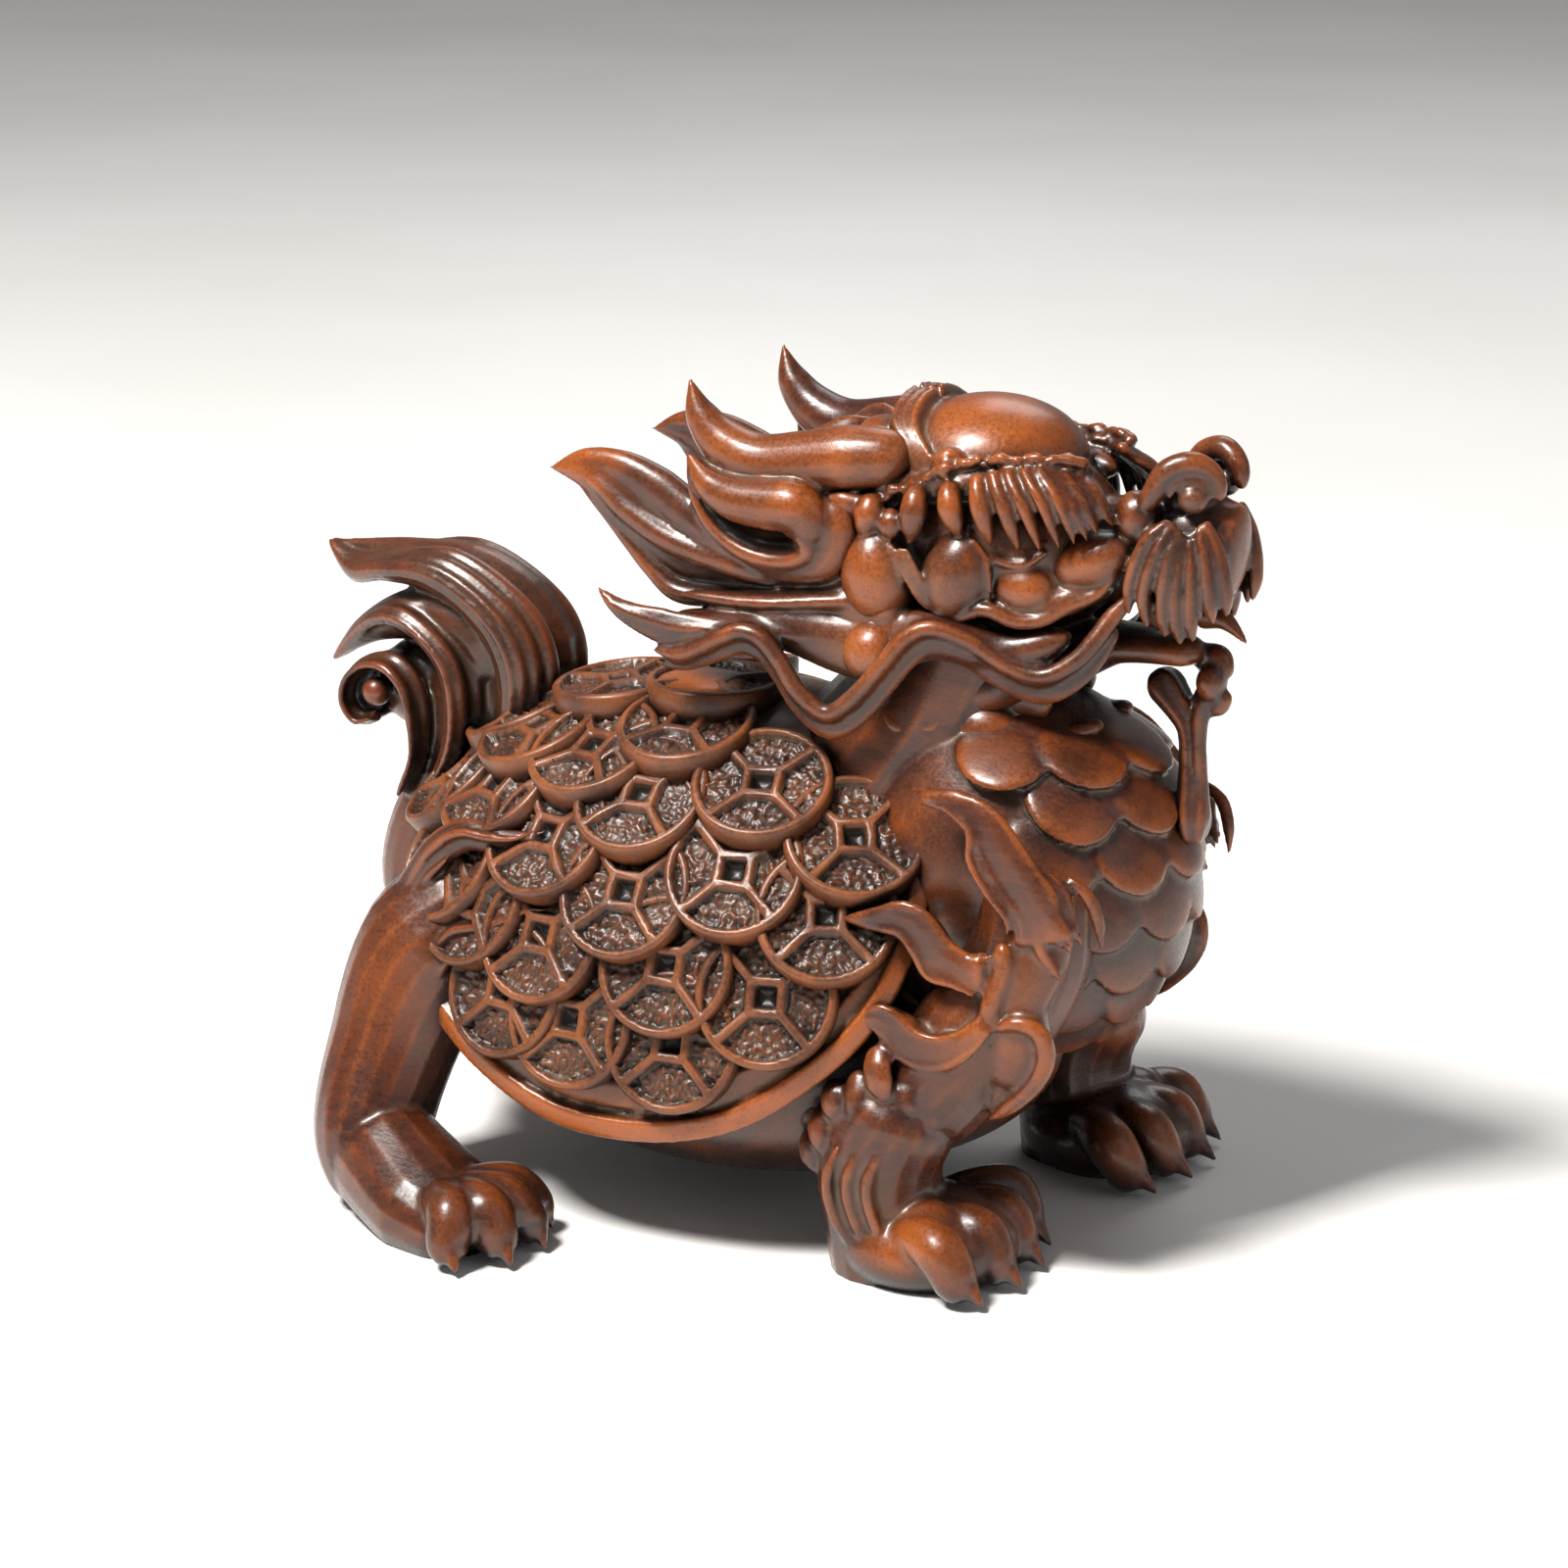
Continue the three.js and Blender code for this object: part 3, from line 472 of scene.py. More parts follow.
@dataclass
class Mane:
    """The horns, the comma locks, the mane's broad leaves, and the long lips that wave back to their fins."""

    lip: float = 0.95

    LIP = (
        (37.6, 5.4, 69.0), (35.3, 6.4, 66.3), (34.0, 7.6, 64.1), (32.3, 8.7, 61.9), (29.2, 9.8, 60.2), (25.8, 10.4, 61.1),
        (21.7, 11.3, 63.5), (18.1, 12.3, 64.4), (15.9, 13.0, 63.2), (13.6, 13.8, 60.2), (10.7, 14.4, 56.7),
        (8.3, 14.6, 55.2), (5.4, 14.9, 57.0), (3.2, 15.1, 60.2), (1.3, 15.3, 62.3), (-0.7, 15.4, 62.8),
        (-2.7, 15.6, 62.1), (-5.1, 15.6, 60.8), (-7.6, 15.7, 59.8), (-10.6, 15.8, 60.0),
    )
    WEB = ((31.4, 7.2, 64.0), (25, 8.8, 62), (18, 10.6, 63.4), (10.6, 11.6, 61.4), (2.4, 12.8, 62.8), (-4.4, 14.0, 62.2))
    LEAF = ((9.6, 5.9, 69.2), (-0.4, 9.0, 69.3), (-8.8, 10.4, 70.8), (-14.8, 11, 73.7), (-20, 11.2, 76.2), (-24.8, 11.2, 76.5))
    LEAF_TOP = ((2.0, 11.0, 69.6), (-4.0, 11.4, 70.6), (-8.6, 11.2, 73.1), (-12.2, 11.0, 75.2), (-16.1, 11.0, 77.0), (-20.4, 11.0, 77.6), (-24.8, 11.2, 76.4))
    LEAF_MID = ((2.5, 11.6, 67.3), (-3.7, 12.0, 68.8), (-10.0, 12.2, 70.5), (-15.2, 12.0, 73.1), (-18.7, 11.8, 75.6), (-21.8, 11.5, 76.6))
    LEAF_LOW = ((-2.1, 11.0, 65.4), (-9.9, 11.0, 65.0), (-12.8, 11.0, 67.0), (-15.7, 11.0, 70.0), (-18.9, 11.0, 73.2), (-21.7, 11.1, 75.4))
    COMMA = ((3.6, 12.2, 71.4), (5.4, 12.6, 73.3), (4.2, 13.0, 75.3), (1.2, 13.2, 75.4), (-2.6, 13.2, 75.7), (-5.6, 13.0, 77.0), (-8.4, 12.5, 80.0))
    COMMA_EDGE = ((3.2, 13.6, 72.6), (5.0, 13.9, 72.6), (5.7, 13.6, 71.2), (3.8, 13.3, 70.0), (0.0, 13.1, 69.9), (-3.2, 13.0, 71.0), (-5.8, 12.9, 73.1), (-7.4, 12.8, 75.8), (-8.4, 12.5, 79.8))
    COMMA_REST = ((5.8, 10.8, 76.0), (7.6, 11.0, 73.6), (6.8, 11.2, 70.4), (3.4, 11.4, 69.4), (-1.2, 11.6, 69.8), (-5, 11.8, 72.6))
    HORN = ((14.4, 8.0, 79.6), (12.0, 8.8, 80.1), (8.0, 9.4, 79.9), (3.4, 9.8, 79.2), (-1.2, 10.2, 78.9), (-5.0, 10.4, 80.4), (-7.6, 10.5, 83.2), (-8.9, 10.6, 87.0))

    def side(self, work: Relief, side: Side) -> None:
        """Adds one side of the mane."""
        work.drawn(side.of(self.LEAF), [5.2, 4.6, 4.6, 3.6, 1.8, 0.3], [3.6, 2.6, 2.0, 1.7, 1.2, 0.3])
        work.drawn(side.of(self.LEAF_TOP), [1.6, 1.9, 2.3, 2.4, 1.9, 1.2, 0.2], [1.6, 1.9, 1.9, 1.8, 1.5, 1.0, 0.2])
        work.drawn(side.of(self.LEAF_MID), [1.1, 1.4, 1.4, 1.3, 1.0, 0.3], [1.2, 1.5, 1.4, 1.3, 1.0, 0.3])
        work.drawn(side.of(self.LEAF_LOW), [1.2, 1.2, 1.0, 0.9, 0.7, 0.2], [1.4, 1.5, 1.3, 1.1, 0.8, 0.2])
        work.drawn(side.of(self.COMMA_REST), [2.0, 2.6, 2.4, 2.2, 1.8, 0.6])
        work.drawn(side.of(self.COMMA), [1.2, 2.3, 2.8, 2.6, 2.3, 1.6, 0.25])
        work.drawn(side.of(self.COMMA_EDGE), [0.4, 0.7, 0.85, 0.9, 0.9, 0.8, 0.7, 0.5, 0.15])
        work.drawn(side.of(self.HORN), [2.4, 3.1, 3.4, 3.2, 2.9, 2.5, 1.7, 0.35])
        work.drawn(side.of([(15.3, 6.4, 65.6), (5, 8, 65.5), (-4.3, 10.2, 66.4)]), [6.6, 4.2, 1.6])
        work.drawn(side.of([(15, 8.0, 66.4), (7.3, 10.6, 66.0), (-0.2, 12.3, 65.3), (-8.8, 13.6, 65.4)]), [2.2, 1.2, 1.0, 0.5], [2.4, 2.6, 2.0, 0.6])
        work.drawn(side.of([(13, 8.6, 62.6), (6, 11.0, 62.3), (-1.9, 13.0, 63.2), (-9, 13.8, 63.4)]), [2.4, 1.7, 1.1, 0.6], [2.4, 2.6, 2.2, 1.0])
        work.drawn(side.of(self.LIP), [0.5] + [self.lip] * 18 + [0.3], ends=0.02)
        hung = [(x, out - 0.75, z - 1.35) for x, out, z in self.LIP[1:]]
        work.drawn(side.of(hung), [0.8, 1.2, 1.5, 1.7, 1.8, 1.8, 1.7, 1.7, 1.7, 1.7, 1.6, 1.4, 1.4, 1.4, 1.3, 1.1, 0.9, 0.6, 0.3], [0.7] * 19, ends=0.02)
        work.drawn(side.of(self.WEB), [1.8, 2.2, 2.6, 3.2, 2.2, 1.0], [2.2, 2.2, 2.0, 1.5, 1.3, 0.8])
        fin = [(1.4, 14.6, 61.9), (-4.6, 15.0, 61.9), (-10.2, 15.2, 62.4), (-14.4, 15.2, 63.6), (-17.2, 15.2, 65.6)]
        work.drawn(side.of(fin), [1.5, 1.9, 1.9, 1.1, 0.25], [0.8, 0.8, 0.8, 0.7, 0.25])
        work.bead(side.of([(-0.7, 15.5, 63.2), (-6.7, 15.8, 62.5), (-10.8, 15.8, 62.9), (-15.0, 15.7, 64.0), (-17.0, 15.3, 65.5)]), 0.42)
        work.drawn(side.of([(9, 1, 80), (5.6, 3.6, 81.2), (0.6, 5.6, 79.8)]), [1.8, 1.8, 0.5], ridges=4, ridge=0.12)
        work.drawn(side.of([(29, 6.6, 60.4), (22, 7.5, 57.2), (14.2, 8.2, 55.4), (8.2, 8.6, 55)]), [1.6, 2.4, 2.6, 1.4], [1.6, 1.8, 1.8, 1.0])

    def build(self) -> bpy.types.Object:
        """Builds the mane and lips and returns their piece."""
        work = Relief("mane_and_lips", voxel=0.28, most=120_000)
        for side in Side:
            self.side(work, side)
        return work.carve()


SHELL_MIDDLE = (-8.0, 0.0, 15.0)
SHELL_RADII = (40.0, 27.5, 38.5)
SHELL_SQUARENESS = 2.2
SHELL_OUTLINE = ((-50, 40), (-44, 30), (-33, 20), (-22, 15), (-7, 12.5), (7, 16.5), (16, 27), (18, 42), (13, 60))
RIM_STATIONS = ((-33, 13), (-25, 4), (-16, -1.6), (-6, -2.2), (3, 1), (9.5, 7.6), (15.5, 19), (18, 32), (18, 52), (14, 72))


def shell_spot(station: float, lean: float, side: Side) -> tuple[Vector, Vector]:
    """Finds a place on the shell.

    Args:
        station: how far along the shell it is, in millimetres.
        lean: how far up its flank, in degrees: 0 is its widest line, 90 its ridge.
        side: the flank.

    Returns:
        The place, and the way out from the shell there.
    """
    n = SHELL_SQUARENESS
    x = (station - SHELL_MIDDLE[0]) / SHELL_RADII[0]
    ring = max(1 - abs(x) ** n, 0) ** (1 / n)
    c, s = math.cos(math.radians(lean)), math.sin(math.radians(lean))
    reach = ring / (abs(c) ** n + abs(s) ** n) ** (1 / n)
    unit = (x, side.value * c * reach, s * reach)
    at = Vector(m + u * r for m, u, r in zip(SHELL_MIDDLE, unit, SHELL_RADII))
    out = Vector(math.copysign(abs(u) ** (n - 1), u) / r for u, r in zip(unit, SHELL_RADII))
    return at, out.normalized()


@dataclass
class Shell:
    """The turtle's dome with the band round its edge, under the coins."""

    rim_half_width: float = 1.25
    rim_half_depth: float = 1.5

    def dome(self) -> bmesh.types.BMesh:
        """Makes the dome, cut off below and in front along the shell's outline."""
        form = bmesh.new()
        bmesh.ops.create_uvsphere(form, u_segments=96, v_segments=64, radius=1)
        n = SHELL_SQUARENESS
        for vert in form.verts:
            reach = sum(abs(value) ** n for value in vert.co) ** (-1 / n)
            vert.co = Vector(m + value * reach * r for m, value, r in zip(SHELL_MIDDLE, vert.co, SHELL_RADII))
        for (x0, z0), (x1, z1) in zip(SHELL_OUTLINE, SHELL_OUTLINE[1:]):
            out = Vector((z1 - z0, 0, x0 - x1)).normalized()
            parts = [*form.verts, *form.edges, *form.faces]
            bmesh.ops.bisect_plane(form, geom=parts, plane_co=(x0, 0, z0), plane_no=out, clear_outer=True)
            bmesh.ops.holes_fill(form, edges=[edge for edge in form.edges if edge.is_boundary])
        return form

    def build(self) -> bpy.types.Object:
        """Builds the shell and returns its piece."""
        work = Relief("shell", voxel=0.34, most=60_000, polish=1)
        work.take(self.dome())
        for shift, width, depth in ((0.0, self.rim_half_width, self.rim_half_depth), (5.0, 1.5, 0.7)):
            edge = {side: [shell_spot(x, lean + shift, side)[0] for x, lean in RIM_STATIONS] for side in Side}
            path = [*edge[Side.NEAR], *reversed(edge[Side.FAR])]
            work.drawn(path, [width, width], [depth, depth], heart=SHELL_MIDDLE, square=0.35, ends=0.004)
        ridge, out = shell_spot(-10.5, 80, Side.NEAR)
        work.ball(ridge + 0.6 * out, (5.2, 5.2, 1.4), 0)
        return work.carve()


@dataclass
class Coins:
    """Old coins with square holes, lapped like roof tiles on one flank of the shell."""

    radius: float = 7.2
    thickness: float = 1.7
    foot: float = 3.0
    tilt: float = 9.4
    rim: float = 0.95
    arm: float = 0.5
    hole: float = 1.0
    frame: float = 2.05
    dish: float = 0.85
    grid: int = 58

    NEAR_PLACES = (
        (-13.8, 13), (-2.4, 12), (-18.1, 25), (-3.7, 23), (6.8, 21), (-9.2, 33), (1.8, 39), (11.3, 36), (-10.1, 49),
        (1.9, 55), (-22, 16), (-19.5, 41), (12, 51), (-17.5, 58), (-28, 52), (-31, 80), (-20, 80), (-9, 80),
        (-27.5, 30), (-32, 38), (-26, 66), (-8.6, 65), (-36, 62),
    )
    FAR_PLACES = (
        (-13.8, 13), (-2.4, 12), (-18.1, 25), (-3.7, 23), (6.8, 21), (-9.2, 33), (1.8, 39), (11.3, 36), (-10.1, 49),
        (1.9, 55), (-22, 16), (-19.5, 41), (12, 51), (-17.5, 58), (-28, 52), (-27.5, 30), (-32, 38), (-26, 68),
        (-14, 72), (-36, 70),
    )

    def height(self, x: np.ndarray, y: np.ndarray, seed: int) -> np.ndarray:
        """Reads how high a coin's face stands at each place, its dished fields pitted by the carver's punch."""
        r = np.hypot(x, y)
        arm = np.abs(np.abs(x) - np.abs(y)) / math.sqrt(2)
        square = np.maximum(np.abs(x), np.abs(y))
        wall = 0.16
        raised = np.maximum.reduce([
            np.clip((r - (self.radius - self.rim)) / wall + 0.5, 0, 1),
            np.clip((self.arm - arm) / wall + 0.5, 0, 1),
            np.clip((self.frame - square) / wall + 0.5, 0, 1),
        ])
        open_hole = np.clip((self.hole - square) / wall + 0.5, 0, 1)
        pits = np.array([noise.noise((1.7 * a, 1.7 * b, 9.3 * seed)) for a, b in zip(x, y)])
        pits += 0.7 * np.array([noise.noise((3.1 * a, 3.1 * b, 4.1 * seed + 50)) for a, b in zip(x, y)])
        floor = -self.dish + 0.42 * pits
        worn = 0.35 * np.clip((r - self.radius + 0.4) / 0.4, 0, 1) ** 2
        return (1 - raised) * floor - open_hole * 1.3 - worn

    def coin(self, seed: int) -> bpy.types.Mesh:
        """Makes one coin, its face up at its thickness and its foot below zero."""
        form = bmesh.new()
        cells = self.grid
        bmesh.ops.create_grid(form, x_segments=cells, y_segments=cells, size=1)
        xy = np.array([v.co[:2] for v in form.verts])
        u, v = xy[:, 0], xy[:, 1]
        x = self.radius * u * np.sqrt(1 - v * v / 2)
        y = self.radius * v * np.sqrt(1 - u * u / 2)
        for vert, a, b, h in zip(form.verts, x, y, self.height(x, y, seed)):
            vert.co = (a, b, self.thickness + h)
        rim = [edge for edge in form.edges if edge.is_boundary]
        skirt = bmesh.ops.extrude_edge_only(form, edges=rim)["geom"]
        for vert in (part for part in skirt if isinstance(part, bmesh.types.BMVert)):
            vert.co.z = -self.foot
        bmesh.ops.holes_fill(form, edges=[edge for edge in form.edges if edge.is_boundary])
        bmesh.ops.recalc_face_normals(form, faces=form.faces)
        mesh = bpy.data.meshes.new(f"coin_{seed}")
        form.to_mesh(mesh)
        form.free()
        return mesh

    def place(self, station: float, lean: float, side: Side) -> Matrix:
        """Works out where a coin lies, leaning out at its foot so that it laps over the ones below."""
        at, out = shell_spot(station, lean, side)
        rise = Vector((0, 0, 1))
        rise = (rise - rise.dot(out) * out).normalized()
        across = out.cross(rise)
        turn = Matrix.Rotation(math.radians(self.tilt), 3, across)
        rise, face = turn @ rise, turn @ out
        basis = Matrix((rise.cross(face), rise, face)).transposed()
        return Matrix.Translation(at) @ basis.to_4x4()

    def build(self, side: Side) -> bpy.types.Object:
        """Builds one flank's coins and returns their piece."""
        name, most = ("near_coins", 155_000) if side is Side.NEAR else ("far_coins", 75_000)
        patterns = [self.coin(seed) for seed in range(4)]
        forms = bmesh.new()
        places = self.NEAR_PLACES if side is Side.NEAR else self.FAR_PLACES
        for number, (station, lean) in enumerate(places):
            mesh = patterns[number % 4].copy()
            mesh.transform(self.place(station, lean, side) @ Matrix.Rotation(math.radians(90 * (number % 3)), 4, "Z"))
            forms.from_mesh(mesh)
            bpy.data.meshes.remove(mesh)
        whole = bpy.data.meshes.new(name)
        forms.to_mesh(whole)
        forms.free()
        for mesh in patterns:
            bpy.data.meshes.remove(mesh)
        whole = thinned(whole, most)
        whole.name = name
        piece = bpy.data.objects.new(name, whole)
        bpy.context.scene.collection.objects.link(piece)
        return piece


@dataclass
class Trunk:
    """The belly, the rump, the neck, and the chest with its lapped scales."""

    chest: Point = (22.5, 0, 38)
    chest_radii: Point = (18.4, 16.2, 19.6)
    scale_radii: Point = (0.95, 4.9, 5.4)
    row_step: float = 15.5
    turn_step: float = 27.0

    def scales(self, work: Relief) -> None:
        """Adds half-moon scales in rows that follow the chest's roundness."""
        for row in range(7):
            rise = 48 - row * self.row_step
            up = math.radians(rise)
            spread = self.turn_step / max(math.cos(up), 0.72)
            reach = 2 if row % 2 else 3
            for i in range(-reach, reach + 1):
                turn = (i + (0.5 if row % 2 else 0)) * spread
                if abs(turn) > 84:
                    continue
                a = math.radians(turn)
                out = (math.cos(up) * math.cos(a), math.cos(up) * math.sin(a), math.sin(up))
                at = [m + o * (r - 0.35) for m, o, r in zip(self.chest, out, self.chest_radii)]
                work.ball(at, self.scale_radii, -rise - 11, turn)

    def build(self) -> bpy.types.Object:
        """Builds the trunk and returns its piece."""
        work = Relief("trunk", voxel=0.34, most=90_000)
        work.ball((-6, 0, 17), (33, 24.5, 14.5))
        work.ball(self.chest, self.chest_radii)
        work.drawn([(8, 0, 42), (16, 0, 54), (21, 0, 68)], [13, 11, 9])
        work.ball((-32, 0, 24), (15, 19, 14))
        self.scales(work)
        return work.carve()


@dataclass
class Limbs:
    """One side's legs and paws, with the flames that sweep back from the shoulder and up the haunch."""

    side: Side
    line: float = 0.5

    TONGUE_UP_OUT = ((20.7, 18.4, 49.9), (24.7, 18.8, 50.2), (28.7, 19.0, 48.8), (31.6, 19.4, 45.8), (34.3, 19.6, 42.3), (36.2, 19.6, 39.1), (37.6, 19.4, 35.9))
    TONGUE_UP_IN = (
        (20.4, 18.6, 48.6), (23.7, 19.2, 48.6), (26.4, 19.8, 47.0), (26.7, 20.2, 44.3), (28.6, 20.6, 41.5),
        (30.8, 20.8, 39.0), (31.0, 20.8, 37.0), (29.7, 20.8, 35.1), (27.3, 20.8, 34.5), (24.6, 20.8, 35.8),
        (22.5, 20.8, 38.1), (20.0, 20.8, 38.9), (17.3, 20.8, 38.1), (13.2, 20.8, 36.7),
    )
    TONGUE_MID_LOW = (
        (13.4, 20.8, 36.3), (16.8, 21.0, 36.2), (19.6, 21.2, 36.1), (21.4, 21.4, 34.4), (22.8, 21.4, 32.3),
        (25.6, 21.6, 31.7), (28.1, 21.8, 30.9), (28.7, 21.8, 29.2), (26.4, 22.0, 26.9), (24.0, 22.0, 26.0),
        (21.6, 22.0, 26.5), (19.2, 22.0, 28.2), (17.3, 22.0, 28.3), (15.5, 22.0, 27.0),
    )
    TONGUE_LOW_LOW = (
        (15.7, 22.0, 26.3), (18.7, 22.2, 25.7), (20.2, 22.2, 23.8), (22.9, 22.2, 23.1), (25.6, 22.2, 23.7),
        (28.0, 22.2, 25.5), (30.0, 22.0, 27.8), (32.2, 21.6, 28.4), (34.1, 21.2, 27.7), (34.6, 21.0, 25.3),
        (33.4, 20.8, 22.7), (31.3, 20.6, 20.2), (29.1, 20.4, 17.9),
    )
    HAIRS = (
        ((30.9, 20.6, 42.1), (33.4, 20.8, 39.1), (34.3, 20.6, 35.7), (36.4, 20.0, 32.7)),
        ((32.5, 20.2, 44.5), (35.0, 20.4, 41.5), (35.8, 20.2, 38.1), (37.1, 19.6, 35.3)),
        ((34.2, 19.4, 43.6), (36.0, 19.4, 41.3), (36.6, 19.2, 38.5), (37.9, 18.6, 36.0)),
        ((35.7, 18.6, 43.3), (38.0, 18.4, 41.3), (39.0, 18.0, 38.5), (39.2, 17.6, 35.6)),
    )
    ELBOW = (
        ((17.8, 22.9, 24.6), (18.6, 24.4, 22.0), (19.6, 24.6, 19.2)), ((15.8, 22.9, 21.8), (16.5, 24.4, 18.4), (17.1, 24.6, 14.9)),
        ((13.0, 22.7, 20.2), (13.7, 24.0, 18.4), (14.2, 24.2, 15.9)), ((11.6, 22.5, 17.2), (12.3, 24.0, 15.0), (13.0, 24.2, 12.2)),
        ((14.4, 22.9, 16.6), (15.0, 24.6, 14.5), (15.5, 24.8, 11.8)), ((18.2, 22.9, 19.4), (18.7, 24.2, 17.2), (19.2, 24.4, 14.5)),
        ((20.6, 22.2, 21.6), (21.0, 23.4, 19.4), (21.4, 23.6, 16.7)), ((10.0, 21.6, 14.2), (10.8, 23.0, 12.4), (11.7, 23.2, 10.0)),
        ((22.6, 21.4, 19.8), (23.0, 22.4, 18.0), (23.4, 22.6, 15.8)), ((8.6, 19.6, 17.4), (9.6, 20.8, 15.2), (10.6, 21.0, 12.6)),
    )
    FLAMES = (
        (TONGUE_UP_OUT, TONGUE_UP_IN[:7]),
        (TONGUE_UP_IN[13:6:-1], TONGUE_MID_LOW[:7]),
        (TONGUE_MID_LOW[13:6:-1], TONGUE_LOW_LOW[:7]),
    )
    HAUNCH_TOP = ((-42.3, 20.0, 19.6), (-39.1, 20.6, 26.5), (-35.6, 21.0, 33.2), (-32.7, 21.4, 37.4), (-29.4, 21.8, 39.5), (-26.0, 22.0, 39.5), (-22.7, 22.0, 39.8), (-19.8, 22.0, 41.3))
    HAUNCH_IN = ((-37.1, 21.4, 24.9), (-36.2, 21.4, 29.9), (-33.9, 21.4, 34.2), (-31.1, 21.6, 37.0))
    HAUNCH_MID = ((-38.4, 22.6, 20.7), (-34.7, 23.0, 24.1), (-31.9, 23.2, 26.9), (-29.8, 23.4, 29.8), (-26.4, 23.6, 30.9), (-23.3, 23.8, 32.0), (-20.2, 24.0, 33.7), (-17.6, 24.2, 34.1))
    HAUNCH_LOW = ((-36.0, 23.0, 18.7), (-32.6, 23.4, 22.1), (-30.6, 23.6, 25.9), (-27.0, 23.8, 28.8), (-24.0, 24.0, 29.5), (-21.6, 24.2, 30.4))
    TUFT = ((-30.6, 21.4, 31.0), (-28.6, 21.8, 33.2), (-26.6, 21.8, 34.0), (-24.6, 22.0, 33.6), (-23.2, 22.0, 32.4))
    HOCK = ((-41.5, 16.9), (-43.5, 13.8), (-44.0, 12.0), (-41.9, 11.2), (-42.9, 8.6), (-40.5, 13.2), (-41.2, 9.6))
    SHIN = (
        ((-42.2, 24.0, 7.3), (-39.5, 26.0, 3.2), (-35.8, 28.0, 0.6), (-32.0, 30.0, -1)),
        ((-39.5, 24.6, 8.0), (-36.2, 27.0, 5.5), (-32.8, 29.0, 3.3)),
        ((-39.2, 22.0, 7.9), (-31.9, 24.0, 6.9), (-27.8, 26.0, 6.6), (-24.2, 27.0, 5.5)),
    )
    FRONT_CLAWS = ((31.4, 27), (33, 21), (32.8, 14.8), (31, 9))
    HIND_CLAWS = ((-19.4, 42), (-15.4, 38), (-14.6, 32.4), (-16.6, 27.4))

    @property
    def step(self) -> float:
        """How far this side's front paw is ahead."""
        return 4.5 if self.side is Side.FAR else 0.0

    def ahead(self, path: Path) -> list[list[float]]:
        """Puts a path of the front paw on this side."""
        return self.side.of([(x + self.step, out, z) for x, out, z in path])

    def claw(self, work: Relief, path: Path) -> None:
        """Adds a toe with its knuckle, and the claw that comes out of it."""
        root, knuckle, bend, tip = (np.asarray(point, float) for point in path)
        back = 0.3 * (tip - knuckle) * (1, 1, 0)
        work.drawn([root, 0.5 * (root + knuckle) + (0, 0, 0.6), knuckle, bend - back, tip - 1.2 * back + (0, 0, 0.6)], [2.0, 2.4, 2.7, 2.3, 1.4], ends=0.1)
        work.ball(knuckle + (0, 0, 0.5), (2.3, 2.2, 2.1))
        work.drawn([bend - 1.3 * back, bend - 0.3 * back + (0, 0, -0.3), tip + 0.1 * back], [1.5, 1.3, 0.12], ends=0.06)

    def front(self, work: Relief) -> None:
        """Adds the front leg and paw."""
        of = self.side.of
        work.drawn(of([(30, 11, 42), (29.6, 13.6, 32), (25, 16.4, 24), (18, 18.4, 15)]), [5.4, 6.4, 6.4, 6.2])
        work.drawn(self.ahead([(21, 20, 20), (17, 20, 12), (17.4, 19.6, 5), (18.4, 19, -3)]), [6, 6.4, 6.2, 6.2])
        work.ball(self.ahead([(21.5, 18.6, 3.4)])[0], (9.4, 8.8, 5.4))
        work.ball(self.ahead([(23.0, 22.4, 5.0)])[0], (4.2, 3.9, 4.1))
        for x, out in self.FRONT_CLAWS:
            path = [(20, out / 2 + 9.5, 5), (x - 5, out - 0.6, 5.4), (x - 1.6, out - 0.2, 2.6), (x, out, 0.5)]
            self.claw(work, self.ahead(path))
        for shift in (0.0, 2.2, 4.4):
            fold = [(14.9 + shift, 26.0, 14.4), (14.0 + shift, 26.4, 10.7), (14.6 + shift, 26.0, 7.2), (16.4 + shift, 25.4, 3.6)]
            work.bead(self.ahead(fold), 0.62)
        for path in self.ELBOW:
            work.drawn(of(path), [1.0, 1.55, 1.5, 0.5], [0.6, 1.0, 0.9, 0.3])

    def shoulder(self, work: Relief) -> None:
        """Adds the flames on the shoulder, each edged by a double line."""
        of = self.side.of
        plate = [(34.0, 17.2, 39.6), (32.8, 18.6, 34.6), (31.4, 19.4, 30.0), (31.2, 19.6, 26.0), (29.6, 18.8, 20.4)]
        work.drawn(of(plate), [2.6, 3.4, 3.0, 3.4, 3.0], [2.2, 2.2, 2.2, 2.4, 2.2], square=0.8)
        for one, other in self.FLAMES:
            work.leaf(of(one), of(other), 1.25, self.line, 0.85 * self.side.value)
        hook = [(30.0, 22.2, 27.8), (32.2, 21.9, 28.6), (34.3, 21.4, 27.9), (35.0, 21.0, 25.3), (33.8, 20.8, 22.3), (31.3, 20.6, 19.6), (28.6, 20.4, 17.4)]
        work.drawn(of(hook), [0.5, 0.8, 0.95, 1.0, 0.95, 0.8, 0.3])
        joints = [(30.2, 20.9, 36.4), (30.4, 20.9, 33.6), (29.4, 21.6, 29.6), (29.2, 21.8, 27.4)]
        work.drawn(of(joints), [0.9, 1.2, 1.2, 0.8])
        for hair in self.HAIRS:
            work.drawn(of(hair), [0.3, 0.75, 0.7, 0.15], [0.4, 0.7, 0.6, 0.2])
        work.drawn(of([(30.8, 19.4, 23.6), (29.9, 19.8, 20.8), (28.4, 19.8, 18.0)]), [0.5, 1.0, 0.3])

